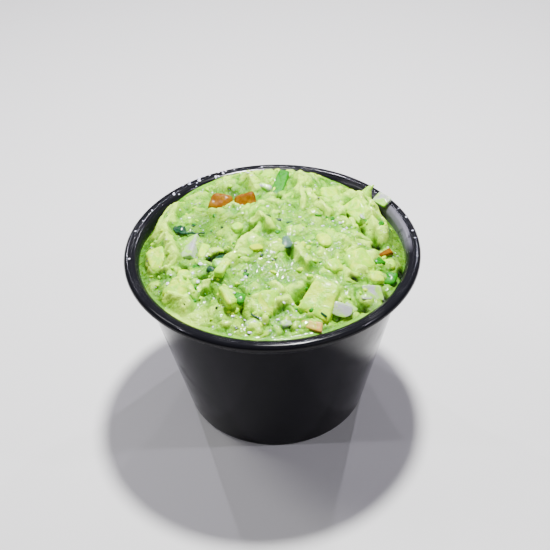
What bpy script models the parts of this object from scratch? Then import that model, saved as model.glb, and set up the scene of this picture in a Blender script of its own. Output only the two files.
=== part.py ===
# Chunky guacamole heaped in a small black plastic portion cup.
# The frame: +Z up, origin on the table at the centre of the cup's base, -Y towards the front.

import math

import bmesh
import bpy
import numpy as np
from mathutils import Euler

MM = 0.001

# The cup, in millimetres.
CUP_HEIGHT = 47.0
RIM_RADIUS = 37.0
RIM_INNER_RADIUS = 34.3
WALL_TOP_RADIUS = 33.0
BASE_RADIUS = 23.4
WALL = 0.6
LID_SEAT_HEIGHT = 41.4
LIP_DEPTH = 1.7
FOOT_WIDTH = 2.0
FOOT_RISE = 0.7
CUP_SEGMENTS = 56

# The guacamole, in millimetres.
GAP = 0.3
EDGE_DROP = 1.0
HEAP_RISE = 6.0
HEAP_RADIUS = 33.0
SURFACE_RINGS = 25
LUMP_SIZES = ((6.4, 1.0, 11), (3.7, 0.6, 12))

# Where the edge lies lower (or, if negative, higher) than EDGE_DROP:
# direction in degrees from +X, spread in degrees, drop.
EDGE_DIPS = (
    (158.0, 17.0, 2.4),
    (22.0, 24.0, 2.5),
    (188.0, 16.0, 1.2),
    (-10.0, 18.0, 1.8),
    (92.0, 26.0, -0.9),
    (-80.0, 50.0, -0.4),
)

# A broad fold along an arc at the back: centre x and y, radius, first and last angle,
# height, width outside and inside the arc.
BACK_FOLD = (0.0, 0.0, 28.5, 56.0, 124.0, 2.0, 3.4, 6.0)

# Ridges and (if negative) creases left by the spoon:
# height, width to the left and to the right of the line, and the points it runs through.
STROKES = (
    (3.2, 1.2, 2.6, ((-23.8, 22.0), (-24.6, 12.5), (-26.7, 6.0), (-25.7, -1.2), (-22.0, -10.8))),
    (1.8, 1.2, 2.0, ((-25.0, 19.2), (-27.8, 13.4), (-28.6, 6.5), (-28.9, 1.8))),
    (1.4, 0.9, 3.4, ((-17.1, 13.4), (-11.3, 10.0), (-9.8, 11.6), (-5.6, 9.6), (-0.1, 13.8))),
    (2.9, 0.8, 3.8, ((-16.1, -17.6), (-14.2, -16.5), (-8.6, -8.7), (-7.3, -5.4), (-3.2, -0.6))),
    (3.0, 1.5, 0.7, ((-4.4, 5.7), (-2.7, 4.0), (-1.2, 1.7), (-0.3, -1.3))),
    (2.4, 2.4, 0.7, ((4.8, -5.0), (5.4, -6.9), (6.5, -10.0), (7.9, -12.7), (8.7, -14.6))),
    (2.2, 1.3, 1.0, ((9.3, 19.3), (11.4, 13.1), (13.0, 9.7), (14.6, 6.6), (15.7, 4.5))),
    (2.0, 1.3, 1.2, ((16.1, 10.3), (17.3, 9.0), (18.4, 7.4))),
    (2.9, 2.6, 1.3, ((17.8, 20.7), (20.4, 19.9), (23.0, 16.9), (24.4, 9.6), (26.7, -2.1))),
    (2.2, 0.9, 1.8, ((25.3, 21.5), (26.8, 15.2), (28.9, 5.5), (28.5, -1.8))),
    (-2.8, 1.0, 1.0, ((20.6, 18.5), (19.5, 9.6), (22.8, 5.2), (23.6, -0.8))),
    (-2.7, 1.1, 1.1, ((3.7, -6.1), (4.2, -8.3), (5.0, -10.7))),
    (-3.2, 0.7, 0.7, ((-13.9, -7.0), (-12.7, -6.9), (-11.2, -6.9))),
    (-1.9, 0.9, 0.9, ((-18.2, -13.6), (-16.3, -13.7), (-14.6, -13.4))),
    (-1.6, 2.2, 2.4, ((-16.7, -18.0), (-16.0, -21.0), (-15.2, -24.3))),
    (-3.0, 1.3, 1.3, ((4.5, -23.8), (5.9, -21.5), (7.6, -19.3), (9.1, -17.3))),
    (2.0, 1.0, 5.0, ((-27.4, -19.8), (-25.5, -19.3), (-23.5, -19.6), (-21.1, -21.1), (-18.4, -23.2))),
    (2.4, 1.5, 1.1, ((-12.3, -19.6), (-10.6, -21.6), (-9.5, -25.0))),
    (1.9, 0.7, 2.6, ((-17.1, -16.5), (-15.7, -16.7), (-14.2, -17.1))),
    (1.6, 1.2, 1.6, ((-22.8, -13.2), (-21.5, -16.1), (-20.9, -18.4))),
    (2.4, 1.8, 1.2, ((8.2, 28.5), (7.8, 20.7), (8.1, 12.9), (8.9, 7.0))),
    (1.8, 1.6, 1.0, ((-6.3, 27.5), (-4.7, 23.0), (-3.1, 18.5))),
    (-2.2, 0.8, 0.8, ((-9.2, -3.6), (-7.6, -0.8), (-5.2, 1.7), (-4.4, 4.4))),
    (-1.6, 1.6, 1.6, ((-9.2, 14.6), (-6.0, 13.6), (-3.4, 14.4))),
    (-1.8, 1.2, 1.2, ((-8.0, -23.0), (-7.2, -26.5), (-6.6, -29.8))),
)

# Hollows and swellings: x, y, spread in x and y, height (negative for a hollow).
DENTS = (
    (-10.5, 19.6, 5.4, 3.6, -2.7),
    (-17.2, 6.5, 5.4, 5.4, -2.2),
    (-17.7, -4.0, 4.5, 6.0, -1.9),
    (-21.5, -9.1, 0.8, 0.9, -1.9),
    (25.7, -0.1, 0.9, 1.3, -3.2),
    (19.1, -12.7, 0.8, 0.8, -1.4),
    (21.2, -23.5, 2.6, 2.0, -2.3),
    (26.2, -19.5, 1.2, 2.4, -1.5),
    (31.2, -10.3, 1.3, 1.5, -1.6),
    (1.7, 17.2, 0.7, 0.8, -1.5),
    (-5.0, 1.8, 1.2, 0.9, -1.2),
    (-7.3, 0.2, 1.0, 0.9, -1.2),
    (5.6, -23.4, 1.5, 2.2, -2.8),
    (17.9, -5.1, 6.0, 5.5, 1.0),
    (21.7, -13.5, 1.7, 1.5, 1.4),
    (14.6, -14.4, 2.0, 1.6, 1.1),
    (1.8, -22.8, 2.6, 2.8, 1.6),
    (2.9, -14.8, 6.5, 5.0, -0.9),
    (-5.4, -29.9, 1.5, 1.3, 0.8),
    (-1.9, -28.3, 1.5, 1.3, 0.8),
    (3.0, -28.0, 1.5, 1.4, 0.8),
    (-11.1, -28.4, 1.6, 1.3, 0.8),
    (-28.1, -12.3, 2.2, 3.2, -0.7),
    (26.0, 21.4, 0.7, 1.0, 2.4),
    (12.0, 2.0, 5.0, 5.0, 0.4),
    (17.7, -16.8, 2.0, 1.8, 0.9),
)

# The larger pieces in the mash. at: x and y. lift: height of the middle over the surface.
# half: half the size along its own axes. turn: Euler angles in degrees. sharp: how crisp
# its edges are. taper: how much the top is narrower than the bottom.
PIECES = {
    "avocado_big": dict(at=(11.2, -22.6), lift=-1.6, half=(3.9, 5.5, 4.2), turn=(20, 4, -28),
                        sharp=10, taper=0.12, sides=18, rings=8, seed=1, stuff="avocado"),
    "avocado_front": dict(at=(-1.2, -23.8), lift=-1.9, half=(2.7, 4.0, 2.6), turn=(20, -6, -20),
                          sharp=6, taper=0.15, sides=12, rings=6, seed=2, stuff="avocado"),
    "avocado_left": dict(at=(-27.6, -5.0), lift=-1.7, half=(2.8, 3.7, 2.7), turn=(10, -18, 14),
                         sharp=7, taper=0.15, sides=12, rings=6, seed=3, stuff="avocado"),
    "avocado_low_left": dict(at=(-22.6, -17.2), lift=-1.7, half=(3.1, 3.3, 2.4), turn=(16, -10, -38),
                             sharp=6, taper=0.15, sides=12, rings=6, seed=4, stuff="avocado"),
    "avocado_right": dict(at=(20.6, -10.4), lift=-2.0, half=(3.7, 3.6, 3.0), turn=(14, 6, 32),
                          sharp=5, taper=0.10, sides=12, rings=6, seed=5, stuff="avocado"),
    "avocado_back_right": dict(at=(23.0, 10.6), lift=-2.2, half=(2.8, 4.8, 3.2), turn=(8, -26, 28),
                               sharp=8, taper=0.10, sides=12, rings=6, seed=6, stuff="avocado"),
    "onion_left": dict(at=(-20.0, -1.4), lift=-0.6, half=(1.7, 4.4, 1.3), turn=(6, -22, -14),
                       sharp=9, taper=0.0, sides=12, rings=5, seed=7, stuff="onion"),
    "onion_right": dict(at=(23.4, -18.8), lift=-0.7, half=(2.3, 1.9, 1.1), turn=(30, 8, 8),
                        sharp=12, taper=0.0, sides=12, rings=5, seed=8, stuff="onion"),
    "onion_front": dict(at=(17.3, -24.9), lift=-0.5, half=(1.8, 1.6, 1.0), turn=(30, 4, 62),
                        sharp=12, taper=0.0, sides=12, rings=5, seed=9, stuff="onion"),
    "tomato_back_left": dict(at=(-12.8, 15.7), lift=-0.5, half=(2.9, 2.5, 2.6), turn=(34, 6, -10),
                             sharp=5, taper=0.0, sides=12, rings=6, seed=10, stuff="tomato"),
    "tomato_back_right": dict(at=(-6.5, 15.1), lift=-0.4, half=(2.8, 2.4, 2.6), turn=(34, -4, 8),
                              sharp=5, taper=0.0, sides=12, rings=6, seed=11, stuff="tomato"),
    "tomato_front": dict(at=(8.6, -30.1), lift=-0.6, half=(2.5, 1.1, 1.2), turn=(14, 0, -18),
                         sharp=6, taper=0.0, sides=10, rings=5, seed=12, stuff="pink_tomato"),
    "tomato_right": dict(at=(27.4, -4.6), lift=-0.5, half=(2.3, 0.7, 1.3), turn=(20, 0, 34),
                         sharp=8, taper=0.0, sides=10, rings=4, seed=13, stuff="tomato"),
    "pepper_back": dict(at=(2.8, 22.4), lift=-0.5, half=(1.5, 4.8, 1.3), turn=(16, 0, -14),
                        sharp=7, taper=0.0, sides=12, rings=5, seed=14, stuff="pepper"),
}

# A thin square of onion that lies across the guacamole's edge: x, y, height over the table,
# half width, half thickness and turn.
RIM_ONION = dict(at=(28.9, 17.0), over_rim=0.9, half=(2.0, 1.5, 0.35), turn=(22, 12, -42))

# Small bits, fused to the mash: x, y, half the size, turn about z and how far each stands out.
BITS = (
    (-12.4, -8.0, 1.5, 1.0, 0.7, 20, 0.20),
    (-14.6, -12.0, 1.2, 0.9, 0.7, -30, 0.25),
    (-12.8, -10.6, 1.7, 1.6, 1.5, 10, 0.35),
    (-8.0, -22.6, 1.3, 1.6, 0.8, -15, 0.30),
    (2.6, -29.6, 1.3, 0.9, 0.6, 15, 0.10),
    (25.6, -8.6, 1.5, 1.5, 0.9, 40, 0.35),
    (28.2, -13.6, 1.4, 1.8, 0.9, -20, 0.30),
    (-3.6, -9.0, 1.9, 1.3, 0.8, 25, 0.30),
    (-8.6, 1.8, 1.5, 1.2, 0.8, 35, 0.45),
    (3.6, -4.6, 1.2, 1.9, 0.5, 12, 0.15),
    (-5.2, -29.0, 1.6, 1.2, 0.9, 30, 0.10),
    (-16.8, -3.6, 1.2, 2.6, 1.0, -12, 0.25),
    (-1.2, 20.6, 1.7, 0.8, 0.8, -35, 0.35),
    (15.3, 18.8, 2.3, 2.4, 1.7, 20, 0.35),
    (28.0, -7.9, 1.9, 1.6, 1.3, 15, 0.20),
    (24.8, -14.4, 1.8, 1.7, 1.4, 10, 0.45),
    (-10.7, -22.6, 1.4, 2.9, 1.5, 24, 0.10),
    (-21.4, -13.8, 1.5, 2.8, 1.5, 10, 0.30),
    (12.8, -4.4, 1.7, 2.3, 1.3, 12, 0.05),
    (14.6, -13.4, 2.1, 1.8, 1.4, 30, 0.25),
    (17.4, 10.2, 1.9, 1.2, 1.2, -35, 0.15),
    (-12.1, -14.9, 1.3, 1.9, 1.2, -25, 0.05),
)

# A small dark leaf with a short stem, lying on the mash.
LEAF = dict(at=(-22.8, 5.2), length=3.8, width=3.0, thickness=0.3, turn=-20.0, wave=0.25, lobes=3)

COLOURS = {
    "cup": ((0.008, 0.008, 0.010), 0.22),
    "mash": ((0.46, 0.60, 0.23), 0.42),
    "avocado": ((0.60, 0.74, 0.28), 0.40),
    "onion": ((0.62, 0.66, 0.56), 0.25),
    "tomato": ((0.60, 0.24, 0.025), 0.25),
    "pink_tomato": ((0.62, 0.48, 0.30), 0.30),
    "pepper": ((0.22, 0.50, 0.13), 0.28),
    "leaf": ((0.02, 0.12, 0.05), 0.35),
}


def material(name):
    colour, roughness = COLOURS[name]
    made = bpy.data.materials.new(name)
    made.use_nodes = True
    shader = made.node_tree.nodes["Principled BSDF"]
    shader.inputs["Base Color"].default_value = (*colour, 1.0)
    shader.inputs["Roughness"].default_value = roughness
    shader.inputs["Metallic"].default_value = 0.0
    return made


def add_object(name, points, faces, stuff, crease=None):
    """A mesh object from points in millimetres, with its normals facing out."""
    mesh = bpy.data.meshes.new(name)
    mesh.from_pydata([tuple(float(v) * MM for v in p) for p in points], [], faces)
    shape = bmesh.new()
    shape.from_mesh(mesh)
    bmesh.ops.recalc_face_normals(shape, faces=shape.faces)
    shape.to_mesh(mesh)
    shape.free()
    mesh.shade_smooth()
    if crease:
        mesh.set_sharp_from_angle(angle=math.radians(crease))
    obj = bpy.data.objects.new(name, mesh)
    obj.data.materials.append(bpy.data.materials.get(stuff) or material(stuff))
    bpy.context.scene.collection.objects.link(obj)
    return obj


def outer_profile():
    """The cup's outside from the middle of its floor to the rim's top, as radius and height."""
    foot_in = BASE_RADIUS - FOOT_WIDTH
    seat = WALL_TOP_RADIUS + 0.5
    return [
        (0.0, FOOT_RISE),
        (foot_in - FOOT_RISE, FOOT_RISE),
        (foot_in, 0.0),
        (BASE_RADIUS, 0.0),
        (BASE_RADIUS + 0.3, 0.5),
        (WALL_TOP_RADIUS, LID_SEAT_HEIGHT),
        (seat, LID_SEAT_HEIGHT + 0.6),
        (seat + 0.25, CUP_HEIGHT - 1.4),
        (seat + 1.0, CUP_HEIGHT - 0.9),
        (RIM_RADIUS - 1.1, CUP_HEIGHT - 0.9),
        (RIM_RADIUS - 0.6, CUP_HEIGHT - LIP_DEPTH),
        (RIM_RADIUS, CUP_HEIGHT - LIP_DEPTH + 0.1),
        (RIM_RADIUS, CUP_HEIGHT - 0.7),
        (RIM_RADIUS - 0.6, CUP_HEIGHT - 0.1),
        (RIM_RADIUS - 1.3, CUP_HEIGHT),
    ]


def inner_profile():
    """The cup's inside from the rim to the middle of the floor, as radius and height."""
    seat = WALL_TOP_RADIUS + 0.5 - WALL
    return [
        (RIM_INNER_RADIUS + 0.5, CUP_HEIGHT - 0.1),
        (RIM_INNER_RADIUS - 0.3, CUP_HEIGHT - 0.45),
        (seat + 0.4, CUP_HEIGHT - 1.5),
        (seat, LID_SEAT_HEIGHT + 0.9),
        (WALL_TOP_RADIUS - WALL, LID_SEAT_HEIGHT + 0.2),
        (BASE_RADIUS + 0.3 - WALL, FOOT_RISE + WALL + 0.5),
        (BASE_RADIUS - 0.4 - WALL, FOOT_RISE + WALL),
        (0.0, FOOT_RISE + WALL),
    ]


def inner_radius(z):
    """Radius of the cup's inner wall at a height."""
    wall = sorted((h, r) for r, h in inner_profile()[:-1])
    return np.interp(z, [h for h, _ in wall], [r for _, r in wall])


def make_cup():
    shape = bmesh.new()
    profile = outer_profile() + inner_profile()
    points = [shape.verts.new((r * MM, 0.0, z * MM)) for r, z in profile]
    edges = [shape.edges.new(pair) for pair in zip(points, points[1:])]
    bmesh.ops.spin(shape, geom=points + edges, cent=(0, 0, 0), axis=(0, 0, 1),
                   angle=2 * math.pi, steps=CUP_SEGMENTS, use_duplicate=False)
    bmesh.ops.remove_doubles(shape, verts=shape.verts, dist=1e-6)
    bmesh.ops.recalc_face_normals(shape, faces=shape.faces)
    mesh = bpy.data.meshes.new("cup")
    shape.to_mesh(mesh)
    shape.free()
    mesh.shade_smooth()
    mesh.set_sharp_from_angle(angle=math.radians(38))
    mesh.materials.append(material("cup"))
    obj = bpy.data.objects.new("cup", mesh)
    bpy.context.scene.collection.objects.link(obj)
    return obj


def ease(t):
    t = np.clip(t, 0.0, 1.0)
    return t * t * (3.0 - 2.0 * t)


def edge_drop(angle):
    """How far the guacamole's edge lies under the rim, by direction in degrees."""
    drop = np.full_like(angle, EDGE_DROP)
    for toward, spread, depth in EDGE_DIPS:
        away = (angle - toward + 180.0) % 360.0 - 180.0
        drop = drop + depth * np.exp(-((away / spread) ** 2))
    return np.maximum(drop, 0.5)


def fold(x, y, cx, cy, radius, first, last, height, outside, inside):
    """A ridge along an arc, steeper on its narrow side and running out at both ends."""
    away = np.hypot(x - cx, y - cy) - radius
    angle = np.degrees(np.arctan2(y - cy, x - cx))
    middle, reach = (first + last) / 2.0, (last - first) / 2.0
    along = np.abs((angle - middle + 180.0) % 360.0 - 180.0) / reach
    width = np.where(away > 0.0, outside, inside)
    return height * np.exp(-((away / width) ** 2)) * ease((1.0 - along) / 0.35)


def stroke(x, y, height, left, right, line):
    """A ridge along a line of points, steeper on its narrow side and running out at both ends."""
    line = np.array(line, float)
    lengths = np.linalg.norm(np.diff(line, axis=0), axis=1)
    run = np.concatenate([[0.0], np.cumsum(lengths)]) / lengths.sum()
    best = np.full(x.shape, 1e9)
    side, along = np.zeros_like(x), np.zeros_like(x)
    for k in range(len(line) - 1):
        way = (line[k + 1] - line[k]) / lengths[k]
        ax, ay = x - line[k, 0], y - line[k, 1]
        t = np.clip(ax * way[0] + ay * way[1], 0.0, lengths[k])
        far = np.hypot(ax - t * way[0], ay - t * way[1])
        closer = far < best
        best = np.where(closer, far, best)
        side = np.where(closer, way[0] * ay - way[1] * ax, side)
        along = np.where(closer, run[k] + t / lengths[k] * (run[k + 1] - run[k]), along)
    width = left + (right - left) * ease(0.5 - side / (0.8 * min(left, right)))
    reach = 2.6 * max(left, right)
    low, high = line.min(axis=0) - reach, line.max(axis=0) + reach
    near = (x > low[0]) & (x < high[0]) & (y > low[1]) & (y < high[1])
    fade = ease(np.minimum(along, 1.0 - along) / 0.2)
    return np.where(near, height * np.exp(-((best / width) ** 1.3)) * fade, 0.0)


def lumps(x, y, size, height, seed):
    """Rounded lumps with creases between: one dome about each jittered grid point."""
    half = int(40.0 / size) + 2
    rng = np.random.default_rng(seed)
    jitter = rng.uniform(-0.38, 0.38, (2 * half + 1, 2 * half + 1, 2))
    tall = rng.uniform(0.35, 1.0, (2 * half + 1, 2 * half + 1))
    column = np.floor(x / size).astype(int)
    row = np.floor(y / size).astype(int)
    best = np.zeros_like(x)
    for i in (-1, 0, 1, 2):
        for j in (-1, 0, 1, 2):
            a = np.clip(column + i + half, 0, 2 * half)
            b = np.clip(row + j + half, 0, 2 * half)
            px = (column + i + jitter[a, b, 0]) * size
            py = (row + j + jitter[a, b, 1]) * size
            far = np.hypot(x - px, y - py) / (0.85 * size)
            best = np.maximum(best, tall[a, b] * (1.0 - np.clip(far, 0.0, 1.0) ** 2))
    return height * best


def relief(x, y):
    """Height of the guacamole's surface over the table, in millimetres."""
    x, y = np.asarray(x, float), np.asarray(y, float)
    r = np.hypot(x, y)
    share = np.clip(r / HEAP_RADIUS, 0.0, 1.0)
    inner = 1.0 - ease((share - 0.93) / 0.07)
    height = CUP_HEIGHT - EDGE_DROP + HEAP_RISE * (1.0 - share**2)
    height = height - (edge_drop(np.degrees(np.arctan2(y, x))) - EDGE_DROP) * share**7
    rough = fold(x, y, *BACK_FOLD)
    for each in STROKES:
        rough = rough + stroke(x, y, *each)
    for cx, cy, sx, sy, rise in DENTS:
        rough = rough + rise * np.exp(-(((x - cx) / sx) ** 2) - ((y - cy) / sy) ** 2)
    calm = 1.0 - 0.75 * np.exp(-(((x - 0.5) / 7.0) ** 2) - ((y + 12.0) / 6.0) ** 2)
    for size, rise, seed in LUMP_SIZES:
        rough = rough + calm * (lumps(x, y, size, rise, seed) - 0.4 * rise)
    return height + rough * (0.12 + 0.88 * inner)


def height_at(x, y):
    return float(relief(np.array([float(x)]), np.array([float(y)]))[0])


def ring(radii, heights, angles):
    return [(r * math.cos(a), r * math.sin(a), z) for r, z, a in zip(radii, heights, angles)]


def make_mash():
    """The guacamole without its pieces: a disc of rings on top, then down the cup's inside."""
    points, faces = [(0.0, 0.0, height_at(0.0, 0.0))], []
    starts = [0]
    for k in range(1, SURFACE_RINGS + 1):
        angles = 2.0 * math.pi * np.arange(6 * k) / (6 * k)
        rim_z = relief(HEAP_RADIUS * np.cos(angles), HEAP_RADIUS * np.sin(angles))
        reach = inner_radius(rim_z) - GAP
        radii = reach * k / SURFACE_RINGS
        heights = relief(radii * np.cos(angles), radii * np.sin(angles))
        starts.append(len(points))
        points += ring(radii, heights, angles)
    for k in range(1, SURFACE_RINGS + 1):
        outer, inner = starts[k], starts[k - 1]
        for s in range(6):
            for j in range(k):
                a = outer + (s * k + j) % (6 * k)
                b = outer + (s * k + j + 1) % (6 * k)
                c = inner + (s * (k - 1) + j) % max(6 * (k - 1), 1)
                faces.append((a, b, c))
                if j < k - 1:
                    d = inner + (s * (k - 1) + j + 1) % (6 * (k - 1))
                    faces.append((c, b, d))
    count = 6 * SURFACE_RINGS
    angles = 2.0 * math.pi * np.arange(count) / count
    floor = FOOT_RISE + WALL + GAP
    last = starts[-1]
    for z in (CUP_HEIGHT - 1.5, LID_SEAT_HEIGHT + 0.2, floor + 0.5, floor):
        heights = np.minimum(z, rim_z - 0.2)
        radii = inner_radius(heights) - GAP - (0.5 if z == floor else 0.0)
        start = len(points)
        points += ring(radii, heights, angles)
        for j in range(count):
            k = (j + 1) % count
            faces.append((last + j, last + k, start + k, start + j))
        last = start
    points.append((0.0, 0.0, floor))
    middle = len(points) - 1
    faces += [(last + j, last + (j + 1) % count, middle) for j in range(count)]
    return add_object("guacamole", points, faces, "mash")


def block(half, turn, sharp, taper, sides, rings, seed, grow=0.0):
    """Points and faces of a hand-cut block about the origin.

    In a direction d its surface lies at r(d) = (sum of (d.n / h) ^ sharp) ^ (-1 / sharp)
    over its six faces, with normals n a little off square and distances h.
    """
    rng = np.random.default_rng(seed)
    axes = np.concatenate([np.eye(3), -np.eye(3)]) + rng.uniform(-0.14, 0.14, (6, 3))
    axes = axes / np.linalg.norm(axes, axis=1, keepdims=True)
    size = np.array(half) + grow
    reach = np.concatenate([size, size])
    theta = 2.0 * np.pi * (np.arange(sides) + 0.5) / sides
    phi = np.pi * np.arange(1, rings + 1) / (rings + 1)
    grid_theta, grid_phi = np.meshgrid(theta, phi)
    ball = np.stack([np.sin(grid_phi) * np.cos(grid_theta), np.sin(grid_phi) * np.sin(grid_theta),
                     np.cos(grid_phi)], axis=-1).reshape(-1, 3)
    ball = np.concatenate([ball, [[0.0, 0.0, 1.0], [0.0, 0.0, -1.0]]])
    way = ball * np.array(half)
    way = way / np.linalg.norm(way, axis=1, keepdims=True)
    facing = np.maximum(way @ axes.T, 0.0) / reach
    points = way * (np.sum(facing**sharp, axis=1) ** (-1.0 / sharp))[:, None]
    points[:, :2] *= (1.0 - taper * np.clip(points[:, 2] / half[2], -1.0, 1.0))[:, None]
    points = points @ np.array(Euler([math.radians(v) for v in turn]).to_matrix()).T
    faces = []
    for i in range(rings - 1):
        for j in range(sides):
            k = (j + 1) % sides
            faces.append((i * sides + j, i * sides + k, (i + 1) * sides + k, (i + 1) * sides + j))
    top, bottom = len(points) - 2, len(points) - 1
    for j in range(sides):
        k = (j + 1) % sides
        faces.append((top, k, j))
        faces.append((bottom, (rings - 1) * sides + j, (rings - 1) * sides + k))
    return points, faces


def piece_shape(spec, grow=0.0):
    points, faces = block(spec["half"], spec["turn"], spec["sharp"], spec["taper"], spec["sides"],
                          spec["rings"], spec["seed"], grow)
    x, y = spec["at"]
    return points + np.array([x, y, height_at(x, y) + spec["lift"]]), faces


def bit_specs():
    """The small bits as blocks, a little tipped, with most of each under the surface."""
    return [dict(at=(x, y), half=(a, b, c), turn=(12.0, 8.0, turn), lift=out - 0.45 * c, sharp=4, taper=0.0,
                 sides=7, rings=4, seed=100 + i)
            for i, (x, y, a, b, c, turn, out) in enumerate(BITS)]


def apply_boolean(target, operation, helpers):
    """One Boolean with a collection of helpers, applied, and the helpers removed."""
    group = bpy.data.collections.new(operation.lower())
    bpy.context.scene.collection.children.link(group)
    for helper in helpers:
        bpy.context.scene.collection.objects.unlink(helper)
        group.objects.link(helper)
        helper.hide_render = True
        helper.display_type = "WIRE"
    boolean = target.modifiers.new(operation.lower(), "BOOLEAN")
    boolean.operation = operation
    boolean.operand_type = "COLLECTION"
    boolean.collection = group
    boolean.solver = "EXACT"
    bpy.context.view_layer.update()
    graph = bpy.context.evaluated_depsgraph_get()
    made = bpy.data.meshes.new_from_object(target.evaluated_get(graph))
    target.modifiers.clear()
    old = target.data
    target.data = made
    bpy.data.meshes.remove(old)
    for helper in list(group.objects):
        bpy.data.objects.remove(helper, do_unlink=True)
    bpy.data.collections.remove(group)


def keep_main_body(obj):
    """Drops loose scraps and fills sealed hollows: only the largest closed shell stays."""
    shape = bmesh.new()
    shape.from_mesh(obj.data)
    bmesh.ops.remove_doubles(shape, verts=shape.verts, dist=2e-6)
    shape.faces.ensure_lookup_table()
    seen, shells = set(), []
    for face in shape.faces:
        if face in seen:
            continue
        shell, front = [], [face]
        seen.add(face)
        while front:
            current = front.pop()
            shell.append(current)
            for edge in current.edges:
                for other in edge.link_faces:
                    if other not in seen:
                        seen.add(other)
                        front.append(other)
        shells.append(shell)
    shells.sort(key=len, reverse=True)
    loose = [face for shell in shells[1:] for face in shell]
    bmesh.ops.delete(shape, geom=loose, context="FACES")
    bmesh.ops.triangulate(shape, faces=shape.faces)
    shape.to_mesh(obj.data)
    shape.free()
    obj.data.shade_smooth()


def rim_onion_shape(grow=0.0):
    points, faces = block(RIM_ONION["half"], RIM_ONION["turn"], 10, 0.0, 12, 5, 31, grow)
    x, y = RIM_ONION["at"]
    return points + np.array([x, y, CUP_HEIGHT + RIM_ONION["over_rim"]]), faces


def make_leaf():
    """A thin wavy leaf with a lobed outline and a stem, both faces split alike."""
    across, along = 4, 8
    points = []
    turn = math.radians(LEAF["turn"])
    cx, cy = LEAF["at"]
    for side in (1.0, 0.0):
        for i in range(along + 1):
            t = i / along
            if t < 0.55:
                u = t / 0.55
                half = 0.5 * LEAF["width"] * math.sin(math.pi * min(u * 1.05 + 0.04, 1.0)) ** 0.6
                half *= 1.0 + 0.18 * math.cos(2.0 * math.pi * LEAF["lobes"] * u)
                reach = LEAF["length"] * u
            else:
                half = 0.32
                reach = LEAF["length"] + 4.6 * (t - 0.55) / 0.45
            half = max(half, 0.32)
            for j in range(across + 1):
                s = 2.0 * j / across - 1.0
                lx, ly = reach - 0.5 * LEAF["length"], s * half
                x = cx + lx * math.cos(turn) - ly * math.sin(turn)
                y = cy + lx * math.sin(turn) + ly * math.cos(turn)
                wave = LEAF["wave"] * math.sin(2.2 * lx + 1.3) * abs(s)
                z = height_at(x, y) + 0.55 + max(wave, -0.05)
                points.append((x, y, z + side * LEAF["thickness"]))
    sheet = (along + 1) * (across + 1)
    faces = []
    for i in range(along):
        for j in range(across):
            a = i * (across + 1) + j
            b, c, d = a + 1, a + across + 2, a + across + 1
            faces += [(a, b, c), (a, c, d)]
            faces += [(sheet + a, sheet + c, sheet + b), (sheet + a, sheet + d, sheet + c)]
    border = [i * (across + 1) for i in range(along + 1)]
    border += [along * (across + 1) + j for j in range(1, across + 1)]
    border += [i * (across + 1) + across for i in range(along - 1, -1, -1)]
    border += [j for j in range(across - 1, 0, -1)]
    for a, b in zip(border, border[1:] + border[:1]):
        faces += [(a, b, sheet + b), (a, sheet + b, sheet + a)]
    return add_object("leaf_left", points, faces, "leaf", crease=50)


for old in list(bpy.data.objects):
    bpy.data.objects.remove(old, do_unlink=True)

make_cup()
mash = make_mash()

bits = []
for number, spec in enumerate(bit_specs()):
    points, faces = piece_shape(spec)
    bits.append(add_object(f"bit_{number}", points, faces, "mash"))
apply_boolean(mash, "UNION", bits)

cutters = []
for name, spec in PIECES.items():
    points, faces = piece_shape(spec)
    add_object(name, points, faces, spec["stuff"], crease=40)
    points, faces = piece_shape(spec, grow=GAP + 0.06)
    cutters.append(add_object(name + "_pocket", points, faces, "mash"))
points, faces = rim_onion_shape()
add_object("onion_rim", points, faces, "onion", crease=40)
points, faces = rim_onion_shape(grow=GAP + 0.06)
cutters.append(add_object("onion_rim_pocket", points, faces, "mash"))
apply_boolean(mash, "DIFFERENCE", cutters)
keep_main_body(mash)

make_leaf()
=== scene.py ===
# Guacamole heaped in a small black plastic portion cup.
# Lengths in the dictionaries are millimetres and angles are degrees.
# Meshes are put in metres as they are made.

import math

import bpy
import numpy as np
from mathutils import Euler, Matrix, Vector


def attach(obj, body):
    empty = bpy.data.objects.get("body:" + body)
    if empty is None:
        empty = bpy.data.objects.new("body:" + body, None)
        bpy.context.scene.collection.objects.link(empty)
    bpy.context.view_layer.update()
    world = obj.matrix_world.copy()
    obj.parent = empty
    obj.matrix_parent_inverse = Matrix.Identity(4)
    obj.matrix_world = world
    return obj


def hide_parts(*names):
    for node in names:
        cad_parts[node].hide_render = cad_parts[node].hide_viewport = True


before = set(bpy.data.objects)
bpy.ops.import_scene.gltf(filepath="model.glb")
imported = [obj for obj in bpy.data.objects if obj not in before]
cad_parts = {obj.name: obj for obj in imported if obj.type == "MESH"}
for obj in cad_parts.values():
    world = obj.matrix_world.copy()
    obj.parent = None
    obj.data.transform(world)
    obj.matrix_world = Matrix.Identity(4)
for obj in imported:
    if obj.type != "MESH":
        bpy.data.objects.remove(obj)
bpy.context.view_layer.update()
mm = 0.001
rootBody = "root"
print("the packed model is in")


# small helpers

def ease(t):
    # smooth step: 3 t^2 - 2 t^3 on t held between 0 and 1
    t = np.clip(t, 0.0, 1.0)
    return t * t * (3.0 - 2.0 * t)


def hump(distance, width):
    # bell curve: e to the minus (distance / width) squared
    return np.exp(-((distance / width) ** 2))


def spot(x, y, cx, cy, sx, sy):
    # bell over the plane: e to the minus ((x - cx) / sx)^2 minus ((y - cy) / sy)^2
    return np.exp(-(((x - cx) / sx) ** 2) - ((y - cy) / sy) ** 2)


def wrapAngle(degrees):
    # an angle brought between -180 and 180 degrees
    return (degrees + 180.0) % 360.0 - 180.0


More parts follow.
